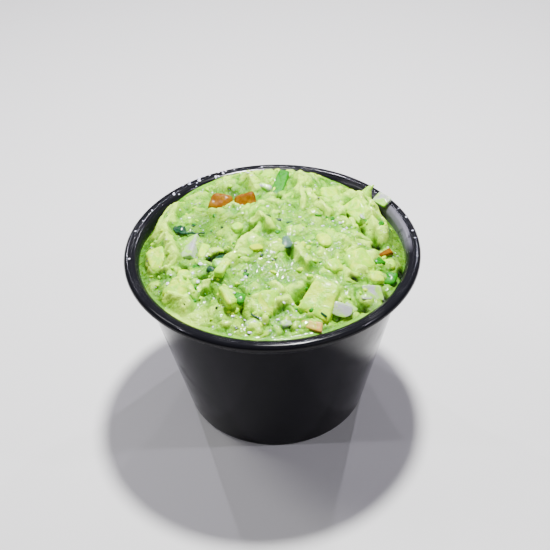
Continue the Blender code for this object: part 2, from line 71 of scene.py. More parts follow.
def meshFrom(name, points, faceSets):
    # points in millimetres; each face set is an array with one row of point numbers to a face
    mesh = bpy.data.meshes.new(name)
    points = np.asarray(points, np.float64).reshape(-1, 3) * mm
    mesh.vertices.add(len(points))
    mesh.vertices.foreach_set("co", points.astype(np.float32).ravel())
    corners = np.concatenate([faces.ravel() for faces in faceSets])
    sizes = np.concatenate([np.full(len(faces), faces.shape[1]) for faces in faceSets])
    starts = np.concatenate([[0], np.cumsum(sizes)[:-1]])
    mesh.loops.add(len(corners))
    mesh.loops.foreach_set("vertex_index", corners.astype(np.int32))
    mesh.polygons.add(len(sizes))
    mesh.polygons.foreach_set("loop_start", starts.astype(np.int32))
    mesh.update(calc_edges=True)
    mesh.validate()
    mesh.shade_smooth()
    return mesh


def gridFaces(rows, columns, closed, first=0):
    # quads of a grid of points, row by row; closed joins the last column to the first
    across = columns if closed else columns - 1
    row, column = np.meshgrid(np.arange(rows - 1), np.arange(across), indexing="ij")
    beside = (column + 1) % columns
    here, right = row * columns + column, row * columns + beside
    quads = np.stack([here, right, right + columns, here + columns], axis=-1)
    return quads.reshape(-1, 4) + first


def gridBorder(rows, columns):
    # numbers of the points round the edge of such a grid, in order
    return np.concatenate([np.arange(columns), np.arange(1, rows) * columns + columns - 1,
                           (rows - 1) * columns + np.arange(columns - 2, -1, -1),
                           np.arange(rows - 2, 0, -1) * columns])


def fanFaces(ringStart, count, pole, flip):
    # triangles from a ring of points to one pole
    here = ringStart + np.arange(count)
    after = ringStart + (np.arange(count) + 1) % count
    order = (after, here) if flip else (here, after)
    return np.stack([order[0], order[1], np.full(count, pole)], axis=-1)


def addPiece(name, mesh, material, nodes=()):
    piece = bpy.data.objects.new(name, mesh)
    bpy.context.scene.collection.objects.link(piece)
    mesh.materials.append(material)
    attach(piece, rootBody)
    if nodes:
        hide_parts(*nodes)
    return piece


def feed(tree, socket, value):
    # a number or a colour is set on the socket, and an output is linked to it
    if isinstance(value, (int, float)):
        socket.default_value = value
    elif isinstance(value, tuple):
        socket.default_value = (*value, 1.0)
    else:
        tree.links.new(value, socket)


def setInputs(node, **values):
    for label, value in values.items():
        node.inputs[label.replace("_", " ")].default_value = value


def setAttribute(mesh, name, values):
    layer = mesh.attributes.new(name, "FLOAT", "POINT")
    layer.data.foreach_set("value", np.asarray(values, np.float32).ravel())


def roundPath(points, reach, steps=5):
    # a polyline with each inner corner turned into a quadratic curve that starts "reach" before it
    path = [points[0]]
    for before, corner, after in zip(points, points[1:], points[2:]):
        before, corner, after = (np.array(p, float) for p in (before, corner, after))
        lengthIn, lengthOut = np.linalg.norm(before - corner), np.linalg.norm(after - corner)
        cut = min(reach, 0.45 * lengthIn, 0.45 * lengthOut)
        start = corner + (before - corner) * cut / lengthIn
        end = corner + (after - corner) * cut / lengthOut
        s = np.linspace(0.0, 1.0, steps)[:, None]
        path += list((1 - s) ** 2 * start + 2 * s * (1 - s) * corner + s**2 * end)
    path.append(points[-1])
    return np.array(path, float)


def waves(points, size, seed, count=10):
    # soft 3D noise: a sum of sine waves of about one wavelength in random directions
    rng = np.random.default_rng(seed)
    ways = rng.normal(size=(count, 3))
    ways /= np.linalg.norm(ways, axis=1, keepdims=True)
    lengths = size * rng.uniform(0.7, 1.5, count)
    phase = rng.uniform(0.0, 2.0 * np.pi, count)
    rate = (ways * (2 * np.pi / lengths)[:, None]).T
    return np.sin(points @ rate + phase).sum(axis=1) / math.sqrt(count)


# camera, light and floor

viewValues = {
    "distance": 300.0,        # camera to the middle of the rim
    "elevation": 39.5,
    "roll": -1.95,
    "focalPixels": 1203.0,    # in an image 550 pixels wide
    "imageSize": 550,
    "rimCentre": (-3.1, -28.5),   # pixels from the image's middle, right and down
    "rimHeight": 47.0,
}

lightValues = {
    "lamps": {
        "key": {"at": (30.0, 95.0, 360.0), "size": 38.0, "power": 3.9},
        "fill": {"at": (260.0, -260.0, 260.0), "size": 320.0, "power": 0.15},
        "back": {"at": (-200.0, 60.0, 300.0), "size": 90.0, "power": 0.4},
        "glintLeft": {"at": (-150.0, 260.0, 230.0), "size": 7.0, "power": 0.35, "tint": "cool"},
        "glintRight": {"at": (150.0, 270.0, 260.0), "size": 7.0, "power": 0.35, "tint": "cool"},
        "glintBack": {"at": (10.0, 300.0, 330.0), "size": 6.0, "power": 0.15, "tint": "cool"},
        "rimLeft": {"at": (-300.0, -92.0, 292.0), "size": 20.0, "power": 0.3, "tint": "cool"},
        "rimRight": {"at": (300.0, -92.0, 292.0), "size": 20.0, "power": 0.4, "tint": "cool"},
    },
    "tints": {"cool": (0.88, 0.84, 1.0)},
    "aim": (0.0, 0.0, 45.0),
    "world": 0.055,
}

floorValues = {"half": 1500.0, "colour": (0.66, 0.655, 0.65), "roughness": 0.7}


def addCamera(v):
    lift, roll = math.radians(v["elevation"]), math.radians(v["roll"])
    ahead = np.array([0.0, math.cos(lift), -math.sin(lift)])
    right = np.array([1.0, 0.0, 0.0])
    up = np.cross(right, ahead)
    sideways = math.cos(roll) * right + math.sin(roll) * up
    upward = -math.sin(roll) * right + math.cos(roll) * up
    pixel = v["distance"] / v["focalPixels"]
    place = np.array([0.0, 0.0, v["rimHeight"]]) - v["distance"] * ahead
    place = place - v["rimCentre"][0] * pixel * sideways + v["rimCentre"][1] * pixel * upward
    camera = bpy.data.cameras.new("camera")
    camera.sensor_width = 36.0
    camera.sensor_fit = "HORIZONTAL"
    camera.lens = 36.0 * v["focalPixels"] / v["imageSize"]
    camera.clip_start, camera.clip_end = 0.01, 20.0
    holder = bpy.data.objects.new("camera", camera)
    turn = Matrix([sideways, upward, -ahead]).transposed().to_4x4()
    holder.matrix_world = Matrix.Translation(Vector(place * mm)) @ turn
    bpy.context.scene.collection.objects.link(holder)
    bpy.context.scene.camera = holder


def addLights(v):
    for name, values in v["lamps"].items():
        lamp = bpy.data.lights.new(name, "AREA")
        lamp.shape = "DISK"
        lamp.size = values["size"] * mm
        lamp.energy = values["power"]
        lamp.color = v["tints"].get(values.get("tint"), (1.0, 1.0, 1.0))
        holder = bpy.data.objects.new(name, lamp)
        place = Vector(values["at"]) * mm
        look = (Vector(v["aim"]) * mm - place).to_track_quat("-Z", "Y")
        holder.matrix_world = Matrix.Translation(place) @ look.to_matrix().to_4x4()
        bpy.context.scene.collection.objects.link(holder)
    world = bpy.data.worlds.new("studio")
    world.use_nodes = True
    setInputs(world.node_tree.nodes["Background"], Color=(1.0, 1.0, 1.0, 1.0), Strength=v["world"])
    bpy.context.scene.world = world


def addFloor(v):
    half = v["half"]
    corners = np.array([[-half, -half, 0.0], [half, -half, 0.0], [half, half, 0.0], [-half, half, 0.0]])
    mesh = meshFrom("floor", corners, [np.array([[0, 1, 2, 3]])])
    floor = bpy.data.objects.new("floor", mesh)
    bpy.context.scene.collection.objects.link(floor)
    plain = bpy.data.materials.new("floorPaint")
    plain.use_nodes = True
    setInputs(plain.node_tree.nodes["Principled BSDF"], Base_Color=(*v["colour"], 1.0),
              Roughness=v["roughness"])
    mesh.materials.append(plain)


addCamera(viewValues)
addLights(lightValues)
addFloor(floorValues)
print("camera, lights and floor are set")


# shared shader groups

def newGroup(name, inputs, outputs):
    # inputs: name and first value, where None is the vector and a tuple is a colour
    group = bpy.data.node_groups.new(name, "ShaderNodeTree")
    for label, value in inputs.items():
        kind = "Vector" if value is None else "Color" if isinstance(value, tuple) else "Float"
        made = group.interface.new_socket(name=label, in_out="INPUT", socket_type="NodeSocket" + kind)
        if value is not None:
            made.default_value = value
    for label, kind in outputs.items():
        group.interface.new_socket(name=label, in_out="OUTPUT", socket_type="NodeSocket" + kind)
    return group, group.nodes.new("NodeGroupInput").outputs, group.nodes.new("NodeGroupOutput").inputs


def addNoise(tree, vector, scale, detail, roughness=0.55, distortion=0.0):
    noise = tree.nodes.new("ShaderNodeTexNoise")
    setInputs(noise, Detail=detail, Roughness=roughness, Distortion=distortion)
    tree.links.new(vector, noise.inputs["Vector"])
    feed(tree, noise.inputs["Scale"], scale)
    return noise.outputs["Fac"]


def addMath(tree, operation, *values, clamp=False):
    node = tree.nodes.new("ShaderNodeMath")
    node.operation = operation
    node.use_clamp = clamp
    for socket, value in zip(node.inputs, values):
        feed(tree, socket, value)
    return node.outputs[0]


def times(tree, first, second, clamp=False):
    return addMath(tree, "MULTIPLY", first, second, clamp=clamp)


def minus(tree, first, second):
    return addMath(tree, "SUBTRACT", first, second)


def addMix(tree, factor, first, second, blend="MIX"):
    node = tree.nodes.new("ShaderNodeMix")
    node.data_type = "RGBA"
    node.blend_type = blend
    for number, value in ((0, factor), (6, first), (7, second)):   # the colour mix's own sockets
        feed(tree, node.inputs[number], value)
    return node.outputs[2]


def addStep(tree, value, low, high):
    # 0 under low, 1 over high, smooth between
    node = tree.nodes.new("ShaderNodeMapRange")
    node.interpolation_type = "SMOOTHSTEP"
    for label, given in (("Value", value), ("From Min", low), ("From Max", high)):
        feed(tree, node.inputs[label], given)
    return node.outputs["Result"]


def addCover(tree, cloud, share, softness):
    # 1 over about that share of a cloudy noise, with soft edges
    middle = minus(tree, 1.0, share)
    return addStep(tree, cloud, minus(tree, middle, softness), addMath(tree, "ADD", middle, softness))


def makeMottle():
    # two colours mixed by cloudy noise; Balance shifts towards the second
    tree, given, out = newGroup("mottle", {
        "Vector": None, "Scale": 300.0, "First": (1, 1, 1, 1), "Second": (0, 0, 0, 1),
        "Balance": 0.5, "Softness": 0.15,
    }, {"Colour": "Color"})
    cloud = addNoise(tree, given["Vector"], given["Scale"], 5.0, 0.6, 0.4)
    mask = addCover(tree, cloud, given["Balance"], given["Softness"])
    tree.links.new(addMix(tree, mask, given["First"], given["Second"]), out["Colour"])
    return tree


def makeWetGrain():
    # relief of moist food: fine grain over coarser pulp, with smooth wet spots where juice stands in it
    tree, given, out = newGroup("wetGrain", {
        "Vector": None, "Fine Scale": 4000.0, "Pulp Scale": 1300.0, "Fine Weight": 0.35,
        "Low Roughness": 0.18, "High Roughness": 0.5, "Wet Roughness": 0.14,
    }, {"Height": "Float", "Roughness": "Float", "Wet": "Float"})
    fine = addNoise(tree, given["Vector"], given["Fine Scale"], 3.0, 0.6)
    pulp = addNoise(tree, given["Vector"], given["Pulp Scale"], 4.0, 0.65, 0.6)
    moist = addNoise(tree, given["Vector"], 420.0, 3.0, 0.5)
    spots = addStep(tree, addNoise(tree, given["Vector"], 1300.0, 2.0, 0.5), 0.49, 0.56)
    tree.links.new(spots, out["Wet"])
    # juice levels the grain: 0.7 + (height - 0.7) (1 - 0.8 wet)
    height = addMath(tree, "MULTIPLY_ADD", fine, given["Fine Weight"], pulp)
    level = addMath(tree, "MULTIPLY_ADD", spots, -0.8, 1.0)
    tree.links.new(addMath(tree, "MULTIPLY_ADD", minus(tree, height, 0.7), level, 0.7), out["Height"])
    spread = minus(tree, given["High Roughness"], given["Low Roughness"])
    dry = addMath(tree, "MULTIPLY_ADD", spread, addStep(tree, moist, 0.35, 0.65), given["Low Roughness"])
    drop = minus(tree, given["Wet Roughness"], dry)
    tree.links.new(addMath(tree, "MULTIPLY_ADD", drop, spots, dry), out["Roughness"])
    return tree


def makeFilm():
    # patches of mash smeared over a piece
    tree, given, out = newGroup("film", {
        "Vector": None, "Scale": 500.0, "Cover": 0.4, "Softness": 0.08,
    }, {"Mask": "Float"})
    cloud = addNoise(tree, given["Vector"], given["Scale"], 4.0, 0.6, 0.8)
    tree.links.new(addCover(tree, cloud, given["Cover"], given["Softness"]), out["Mask"])
    return tree


def makePlasticMarks():
    # handled thin plastic: cloudy smudges in the gloss, fine dust and a faint ripple
    tree, given, out = newGroup("plasticMarks", {
        "Vector": None, "Gloss": 0.14, "Smudge": 0.16,
    }, {"Roughness": "Float", "Height": "Float", "Dust": "Float"})
    smudge = addStep(tree, addNoise(tree, given["Vector"], 90.0, 4.0, 0.6, 0.7), 0.45, 0.7)
    tree.links.new(addMath(tree, "MULTIPLY_ADD", smudge, given["Smudge"], given["Gloss"]), out["Roughness"])
    tree.links.new(addNoise(tree, given["Vector"], 55.0, 2.0), out["Height"])
    dust = addNoise(tree, given["Vector"], 2600.0, 2.0, 0.4)
    tree.links.new(addStep(tree, dust, 0.74, 0.80), out["Dust"])
    return tree


mottle, wetGrain, film, plasticMarks = makeMottle(), makeWetGrain(), makeFilm(), makePlasticMarks()


def startMaterial(name):
    material = bpy.data.materials.new(name)
    material.use_nodes = True
    tree = material.node_tree
    shader = tree.nodes["Principled BSDF"]
    coordinates = tree.nodes.new("ShaderNodeTexCoord")
    return material, tree, shader, coordinates.outputs["Object"]


def placeGroup(tree, group, vector, **values):
    node = tree.nodes.new("ShaderNodeGroup")
    node.node_tree = group
    tree.links.new(vector, node.inputs["Vector"])
    for label, value in values.items():
        feed(tree, node.inputs[label.replace("_", " ")], value)
    return node.outputs


def addBump(tree, shader, height, strength, distance):
    bump = tree.nodes.new("ShaderNodeBump")
    setInputs(bump, Strength=strength, Distance=distance * mm)
    tree.links.new(height, bump.inputs["Height"])
    tree.links.new(bump.outputs["Normal"], shader.inputs["Normal"])


def readAttribute(tree, name):
    node = tree.nodes.new("ShaderNodeAttribute")
    node.attribute_name = name
    return node.outputs["Fac"]


def moistFinish(tree, shader, colour, grain, bump, coat, scatter, shine):
    # what all the food shares; bump is height, strength and distance, scatter is weight, radii and scale
    tree.links.new(colour, shader.inputs["Base Color"])
    tree.links.new(grain["Roughness"], shader.inputs["Roughness"])
    tree.links.new(coat, shader.inputs["Coat Weight"])
    addBump(tree, shader, *bump)
    weight, radii, scale = scatter
    setInputs(shader, Subsurface_Weight=weight, Subsurface_Radius=radii, Subsurface_Scale=scale * mm,
              IOR=1.40, Specular_IOR_Level=shine, Coat_Roughness=0.06)


# the cup

cupValues = {
    "height": 47.0, "rim": 37.0, "rimInner": 34.3, "wallTop": 33.0, "base": 23.4, "wall": 0.6,
    "lidSeat": 41.4, "lip": 1.7, "foot": 2.0, "footRise": 0.7, "segments": 192,
    "colour": (0.006, 0.006, 0.008), "dustColour": (0.5, 0.5, 0.5), "gloss": 0.12, "smudge": 0.14,
    "shine": 0.14, "corner": 0.45,
    # the smear of mash on the inner wall: its colour (lilac-grey, partly a painted reflection of violet
    # light), how thick, from and to which direction, and the two lines of radius against height that part the
    # inner wall from the outer
    "smearSheenColour": (0.20, 0.19, 0.24), "filmShare": 0.55, "filmFrom": -8.0, "filmTo": 42.0,
    "seatSlope": 28.97, "lipSlope": 12.0,
}


def cupProfiles(v):
    # the same corners as the solid: outside from the floor to the rim, inside back to the floor
    h, footIn, seat = v["height"], v["base"] - v["foot"], v["wallTop"] + 0.5
    outside = [
        (0.0, v["footRise"]), (footIn - v["footRise"], v["footRise"]), (footIn, 0.0), (v["base"], 0.0),
        (v["base"] + 0.3, 0.5), (v["wallTop"], v["lidSeat"]), (seat, v["lidSeat"] + 0.6),
        (seat + 0.25, h - 1.4), (seat + 1.0, h - 0.9), (v["rim"] - 1.1, h - 0.9),
        (v["rim"] - 0.6, h - v["lip"]), (v["rim"], h - v["lip"] + 0.1), (v["rim"], h - 0.7),
        (v["rim"] - 0.6, h - 0.1), (v["rim"] - 1.3, h),
    ]
    seat = seat - v["wall"]
    inside = [
        (v["rimInner"] + 0.5, h - 0.1), (v["rimInner"] - 0.3, h - 0.45), (seat + 0.4, h - 1.5),
        (seat, v["lidSeat"] + 0.9), (v["wallTop"] - v["wall"], v["lidSeat"] + 0.2),
        (v["base"] + 0.3 - v["wall"], v["footRise"] + v["wall"] + 0.5),
        (v["base"] - 0.4 - v["wall"], v["footRise"] + v["wall"]), (0.0, v["footRise"] + v["wall"]),
    ]
    return outside, inside


cupOutside, cupInside = cupProfiles(cupValues)


def innerRadius(z):
    wall = sorted((height, radius) for radius, height in cupInside[:-1])
    return np.interp(z, [h for h, _ in wall], [r for _, r in wall])


def turnedMesh(name, profile, segments):
    # x = r(t) cos a, y = r(t) sin a, z = z(t); both ends of the profile lie on the axis
    inner = profile[1:-1]
    angle = 2.0 * np.pi * np.arange(segments) / segments
    points = np.stack([
        inner[:, :1] * np.cos(angle), inner[:, :1] * np.sin(angle),
        np.repeat(inner[:, 1:], segments, axis=1)], axis=-1).reshape(-1, 3)
    poles = np.array([[0.0, 0.0, profile[0, 1]], [0.0, 0.0, profile[-1, 1]]])
    count = len(points)
    faces = [gridFaces(len(inner), segments, True),
             fanFaces(0, segments, count, True),
             fanFaces(count - segments, segments, count + 1, False)]
    return meshFrom(name, np.concatenate([points, poles]), faces)


def cupMaterial(v):
    material, tree, shader, vector = startMaterial("blackPlastic")
    marks = placeGroup(tree, plasticMarks, vector, Gloss=v["gloss"], Smudge=v["smudge"])
    # a smear of mash on the inner wall, from one direction to another, above the filling, tinted lilac-grey
    # as a painted reflection
    place = tree.nodes.new("ShaderNodeSeparateXYZ")
    tree.links.new(vector, place.inputs[0])
    x, y, z = place.outputs
    angle = addMath(tree, "ARCTAN2", y, x)
    reach = addMath(tree, "SQRT", addMath(tree, "ADD", times(tree, x, x), times(tree, y, y)))
    # the inner wall lies within two slopes of height, and the outer wall beyond them
    seatLine = addMath(tree, "MULTIPLY_ADD", z, 0.1, v["seatSlope"] * mm)
    lipLine = minus(tree, z, v["lipSlope"] * mm)
    beyond = minus(tree, reach, addMath(tree, "MAXIMUM", seatLine, lipLine))
    inWall = minus(tree, 1.0, addStep(tree, beyond, -0.05 * mm, 0.1 * mm))
    near = times(tree, addStep(tree, z, 41.5 * mm, 42.5 * mm), inWall)
    first, last = math.radians(v["filmFrom"]), math.radians(v["filmTo"])
    along = times(tree, addStep(tree, angle, first, first + 0.25),
                  minus(tree, 1.0, addStep(tree, angle, last - 0.25, last)))
    patches = placeGroup(tree, film, vector, Scale=260.0, Cover=0.6, Softness=0.12)["Mask"]
    smear = times(tree, times(tree, near, along), patches)
    dusty = addMix(tree, times(tree, marks["Dust"], 0.05), v["colour"], v["dustColour"])
    colour = addMix(tree, times(tree, smear, v["filmShare"]), dusty, v["smearSheenColour"])
    tree.links.new(colour, shader.inputs["Base Color"])
    rough = addMath(tree, "MULTIPLY_ADD", smear, 0.15, marks["Roughness"])
    tree.links.new(rough, shader.inputs["Roughness"])
    addBump(tree, shader, marks["Height"], 0.25, 0.25)
    setInputs(shader, IOR=1.49, Specular_IOR_Level=v["shine"])
    return material


cupPath = roundPath(cupOutside + cupInside, cupValues["corner"])
addPiece("cupShell", turnedMesh("cupShell", cupPath, cupValues["segments"]),
         cupMaterial(cupValues), ("cup",))
print("the cup is turned")


# where the dice lie: middle, height of it over the mash, half sizes, turn, crispness, narrowing

diceValues = {
    "avocado_big": dict(at=(11.2, -22.6), lift=-1.6, half=(3.9, 5.5, 4.2), turn=(20, 4, -28),
                        sharp=10, taper=0.12, seed=1, stuff="avocado"),
    "avocado_front": dict(at=(-1.2, -23.8), lift=-1.9, half=(2.7, 4.0, 2.6), turn=(20, -6, -20),
                          sharp=6, taper=0.15, seed=2, stuff="avocado"),
    "avocado_left": dict(at=(-27.6, -5.0), lift=-1.7, half=(2.8, 3.7, 2.7), turn=(10, -18, 14),
                         sharp=7, taper=0.15, seed=3, stuff="avocado"),
    "avocado_low_left": dict(at=(-22.6, -17.2), lift=-1.7, half=(3.1, 3.3, 2.4), turn=(16, -10, -38),
                             sharp=6, taper=0.15, seed=4, stuff="avocado"),
    "avocado_right": dict(at=(20.6, -10.4), lift=-2.0, half=(3.7, 3.6, 3.0), turn=(14, 6, 32),
                          sharp=5, taper=0.10, seed=5, stuff="avocado"),
    "avocado_back_right": dict(at=(23.0, 10.6), lift=-2.2, half=(2.8, 4.8, 3.2), turn=(8, -26, 28),
                               sharp=8, taper=0.10, seed=6, stuff="avocado"),
    "onion_left": dict(at=(-20.0, -1.4), lift=-0.6, half=(1.7, 4.4, 1.3), turn=(6, -22, -14),
                       sharp=9, taper=0.0, seed=7, stuff="onion"),
    "onion_right": dict(at=(23.4, -18.8), lift=-0.7, half=(2.3, 1.9, 1.1), turn=(30, 8, 8),
                        sharp=12, taper=0.0, seed=8, stuff="onion"),
    "onion_front": dict(at=(17.3, -24.9), lift=-0.5, half=(1.8, 1.6, 1.0), turn=(30, 4, 62),
                        sharp=12, taper=0.0, seed=9, stuff="onion"),
    "tomato_back_left": dict(at=(-12.8, 15.7), lift=-0.5, half=(2.9, 2.5, 2.6), turn=(34, 6, -10),
                             sharp=5, taper=0.0, seed=10, stuff="tomato"),
    "tomato_back_right": dict(at=(-6.5, 15.1), lift=-0.4, half=(2.8, 2.4, 2.6), turn=(34, -4, 8),
                              sharp=5, taper=0.0, seed=11, stuff="tomato"),
    "tomato_front": dict(at=(8.6, -30.1), lift=-0.6, half=(2.5, 1.1, 1.2), turn=(14, 0, -18),
                         sharp=6, taper=0.0, seed=12, stuff="pinkTomato"),
    "tomato_right": dict(at=(27.4, -4.6), lift=-0.5, half=(2.3, 0.7, 1.3), turn=(20, 0, 34),
                         sharp=8, taper=0.0, seed=13, stuff="tomato"),
    "pepper_back": dict(at=(2.8, 22.4), lift=-0.5, half=(1.5, 4.8, 1.3), turn=(16, 0, -14),
                        sharp=7, taper=0.0, seed=14, stuff="pepper"),
}

# the heap of mash

heapValues = {
    "edgeDrop": 1.0, "rise": 6.0, "radius": 33.0, "cells": 308, "overlap": 0.25,
    "mapHalf": 35.6, "mapCells": 760,
    # edge: direction, spread, how much lower
    "edgeDips": ((158.0, 17.0, 2.4), (22.0, 24.0, 2.5), (188.0, 16.0, 1.2), (-10.0, 18.0, 1.8),
                 (92.0, 26.0, -0.9), (-80.0, 50.0, -0.4)),
    # a broad fold along an arc at the back: centre, radius, angles, height, width outside and inside
    "backFold": (0.0, 0.0, 28.5, 56.0, 124.0, 2.0, 3.4, 6.0),
    # ridges and creases that the spoon left: height, width left and right of the line, its points
    "strokes": (
        (3.2, 1.2, 2.6, ((-23.8, 22.0), (-24.6, 12.5), (-26.7, 6.0), (-25.7, -1.2), (-22.0, -10.8))),
        (1.8, 1.2, 2.0, ((-25.0, 19.2), (-27.8, 13.4), (-28.6, 6.5), (-28.9, 1.8))),
        (1.4, 0.9, 3.4, ((-17.1, 13.4), (-11.3, 10.0), (-9.8, 11.6), (-5.6, 9.6), (-0.1, 13.8))),
        (2.9, 0.8, 3.8, ((-16.1, -17.6), (-14.2, -16.5), (-8.6, -8.7), (-7.3, -5.4), (-3.2, -0.6))),
        (3.0, 1.5, 0.7, ((-4.4, 5.7), (-2.7, 4.0), (-1.2, 1.7), (-0.3, -1.3))),
        (2.4, 2.4, 0.7, ((4.8, -5.0), (5.4, -6.9), (6.5, -10.0), (7.9, -12.7), (8.7, -14.6))),
        (2.2, 1.3, 1.0, ((9.3, 19.3), (11.4, 13.1), (13.0, 9.7), (14.6, 6.6), (15.7, 4.5))),
        (2.0, 1.3, 1.2, ((16.1, 10.3), (17.3, 9.0), (18.4, 7.4))),
        (2.9, 2.6, 1.3, ((17.8, 20.7), (20.4, 19.9), (23.0, 16.9), (24.4, 9.6), (26.7, -2.1))),
        (2.2, 0.9, 1.8, ((25.3, 21.5), (26.8, 15.2), (28.9, 5.5), (28.5, -1.8))),
        (-2.8, 1.0, 1.0, ((20.6, 18.5), (19.5, 9.6), (22.8, 5.2), (23.6, -0.8))),
        (-2.7, 1.1, 1.1, ((3.7, -6.1), (4.2, -8.3), (5.0, -10.7))),
        (-3.2, 0.7, 0.7, ((-13.9, -7.0), (-12.7, -6.9), (-11.2, -6.9))),
        (-1.9, 0.9, 0.9, ((-18.2, -13.6), (-16.3, -13.7), (-14.6, -13.4))),
        (-1.6, 2.2, 2.4, ((-16.7, -18.0), (-16.0, -21.0), (-15.2, -24.3))),
        (-3.0, 1.3, 1.3, ((4.5, -23.8), (5.9, -21.5), (7.6, -19.3), (9.1, -17.3))),
        (2.0, 1.0, 5.0, ((-27.4, -19.8), (-25.5, -19.3), (-23.5, -19.6), (-21.1, -21.1), (-18.4, -23.2))),
        (2.4, 1.5, 1.1, ((-12.3, -19.6), (-10.6, -21.6), (-9.5, -25.0))),
        (1.9, 0.7, 2.6, ((-17.1, -16.5), (-15.7, -16.7), (-14.2, -17.1))),
        (1.6, 1.2, 1.6, ((-22.8, -13.2), (-21.5, -16.1), (-20.9, -18.4))),
        (2.4, 1.8, 1.2, ((8.2, 28.5), (7.8, 20.7), (8.1, 12.9), (8.9, 7.0))),
        (1.8, 1.6, 1.0, ((-6.3, 27.5), (-4.7, 23.0), (-3.1, 18.5))),
        (-2.2, 0.8, 0.8, ((-9.2, -3.6), (-7.6, -0.8), (-5.2, 1.7), (-4.4, 4.4))),
        (-1.6, 1.6, 1.6, ((-9.2, 14.6), (-6.0, 13.6), (-3.4, 14.4))),
        (-1.8, 1.2, 1.2, ((-8.0, -23.0), (-7.2, -26.5), (-6.6, -29.8))),
    ),
    # hollows and swellings: x, y, spreads, height
    "dents": (
        (-10.5, 19.6, 5.4, 3.6, -2.7), (-17.2, 6.5, 5.4, 5.4, -2.2), (-17.7, -4.0, 4.5, 6.0, -1.9),
        (-21.5, -9.1, 0.8, 0.9, -1.9), (25.7, -0.1, 0.9, 1.3, -3.2), (19.1, -12.7, 0.8, 0.8, -1.4),
        (21.2, -23.5, 2.6, 2.0, -2.3), (26.2, -19.5, 1.2, 2.4, -1.5), (31.2, -10.3, 1.3, 1.5, -1.6),
        (1.7, 17.2, 0.7, 0.8, -1.5), (-5.0, 1.8, 1.2, 0.9, -1.2), (-7.3, 0.2, 1.0, 0.9, -1.2),
        (5.6, -23.4, 1.5, 2.2, -2.8), (17.9, -5.1, 6.0, 5.5, 1.0), (21.7, -13.5, 1.7, 1.5, 1.4),
        (14.6, -14.4, 2.0, 1.6, 1.1), (1.8, -22.8, 2.6, 2.8, 1.6), (2.9, -14.8, 6.5, 5.0, -0.9),
        (-5.4, -29.9, 1.5, 1.3, 0.8), (-1.9, -28.3, 1.5, 1.3, 0.8), (3.0, -28.0, 1.5, 1.4, 0.8),
        (-11.1, -28.4, 1.6, 1.3, 0.8), (-28.1, -12.3, 2.2, 3.2, -0.7), (26.0, 21.4, 0.7, 1.0, 2.4),
        (12.0, 2.0, 5.0, 5.0, 0.4), (17.7, -16.8, 2.0, 1.8, 0.9),
    ),
    # little holes, carved and painted dark as shade: x, y, spreads, turn, how dark
    "pits": (
        (25.9, -2.8, 1.4, 2.1, -35.0, 1.3), (-13.0, -7.1, 2.5, 1.0, 8.0, 1.15),
        (-21.2, -11.0, 0.9, 0.8, 0.0, 0.8),
        (18.9, -15.6, 0.8, 0.8, 0.0, 0.7), (1.9, 15.3, 0.9, 1.0, 0.0, 0.8),
        (21.3, -23.6, 2.4, 1.4, 15.0, 0.55),
        (5.2, -22.4, 1.0, 1.6, -30.0, 0.6), (31.3, -9.6, 1.0, 1.6, -20.0, 0.8),
        (26.4, -19.8, 0.7, 1.9, -10.0, 0.7),
        (-5.2, 1.9, 1.6, 0.6, 48.0, 0.6), (-7.9, -0.6, 0.6, 1.2, -14.0, 0.5),
        (-16.6, -13.6, 1.6, 0.5, 5.0, 0.45),
        (4.6, -6.2, 0.7, 1.6, 15.0, 0.5), (19.3, 10.2, 0.6, 2.8, 0.0, 0.6),
        (22.6, 4.2, 0.6, 2.2, 30.0, 0.45),
        (8.0, -18.8, 0.8, 2.8, -40.0, 0.45), (-4.0, 14.9, 1.6, 0.6, -20.0, 0.55),
        (3.9, -30.4, 0.8, 1.8, 0.0, 0.35),
        (-12.2, 15.6, 2.2, 0.4, -6.0, 0.35), (28.6, 12.0, 0.5, 2.6, -12.0, 0.4),
        (12.2, 13.0, 0.5, 1.8, -20.0, 0.35),
    ),
    "domes": ((6.4, 1.0, 11), (3.7, 0.6, 12)),   # size, height and seed of the broad lumps
    "rest": (0.5, -12.0, 7.0, 6.0),   # middle and spreads of the hollow where the broad lumps fade
    "restShare": 0.75,
    # finer lumps: how many, smallest and largest half width, stand-out as a share of it, seed
    "lumps": ((34, 1.4, 2.6, 0.26, 21), (70, 0.7, 1.3, 0.24, 22), (150, 0.3, 0.6, 0.30, 23)),
    # puffs: longest and shortest wave, height, seed
    "puffs": ((9.0, 3.0, 0.50, 34), (2.6, 1.1, 0.06, 35), (1.1, 0.4, 0.015, 36)),
    # shade where the heap drops to the wall: direction, spread, how dark
    "edgeShade": ((-8.0, 26.0, 1.6), (172.0, 26.0, 0.6), (206.0, 16.0, 0.35)),
    # parts that the spoon left smooth: x, y, spreads, how smooth, how much painted shade (below nought,
    # painted light)
    "calm": (
        (2.5, -13.5, 8.5, 6.5, 1.0, 0.25), (-16.0, 5.0, 5.5, 7.0, 0.9, 0.85),
        (-10.5, 20.5, 6.0, 3.8, 1.0, 0.7),
        (-21.5, -25.5, 7.5, 4.0, 0.95, -2.5), (-16.0, -21.0, 3.0, 4.5, 1.0, 0.1),
        (-2.0, -4.0, 5.5, 8.0, 0.85, 0.0),
        (8.0, 4.0, 7.0, 5.0, 0.5, 0.1), (-26.0, 12.0, 4.0, 8.0, 0.7, 0.0),
        (-17.0, -7.0, 4.0, 5.0, 0.6, 0.25),
        (26.5, 8.0, 4.5, 9.0, 0.6, 0.0), (6.0, 22.0, 5.0, 6.0, 0.4, 0.0), (-8.0, 5.5, 3.0, 4.0, 0.3, 0.3),
    ),
}


def edgeDrop(angle, v):
    drop = np.full_like(angle, v["edgeDrop"])
    for toward, spread, depth in v["edgeDips"]:
        drop = drop + depth * hump(wrapAngle(angle - toward), spread)
    return np.maximum(drop, 0.5)


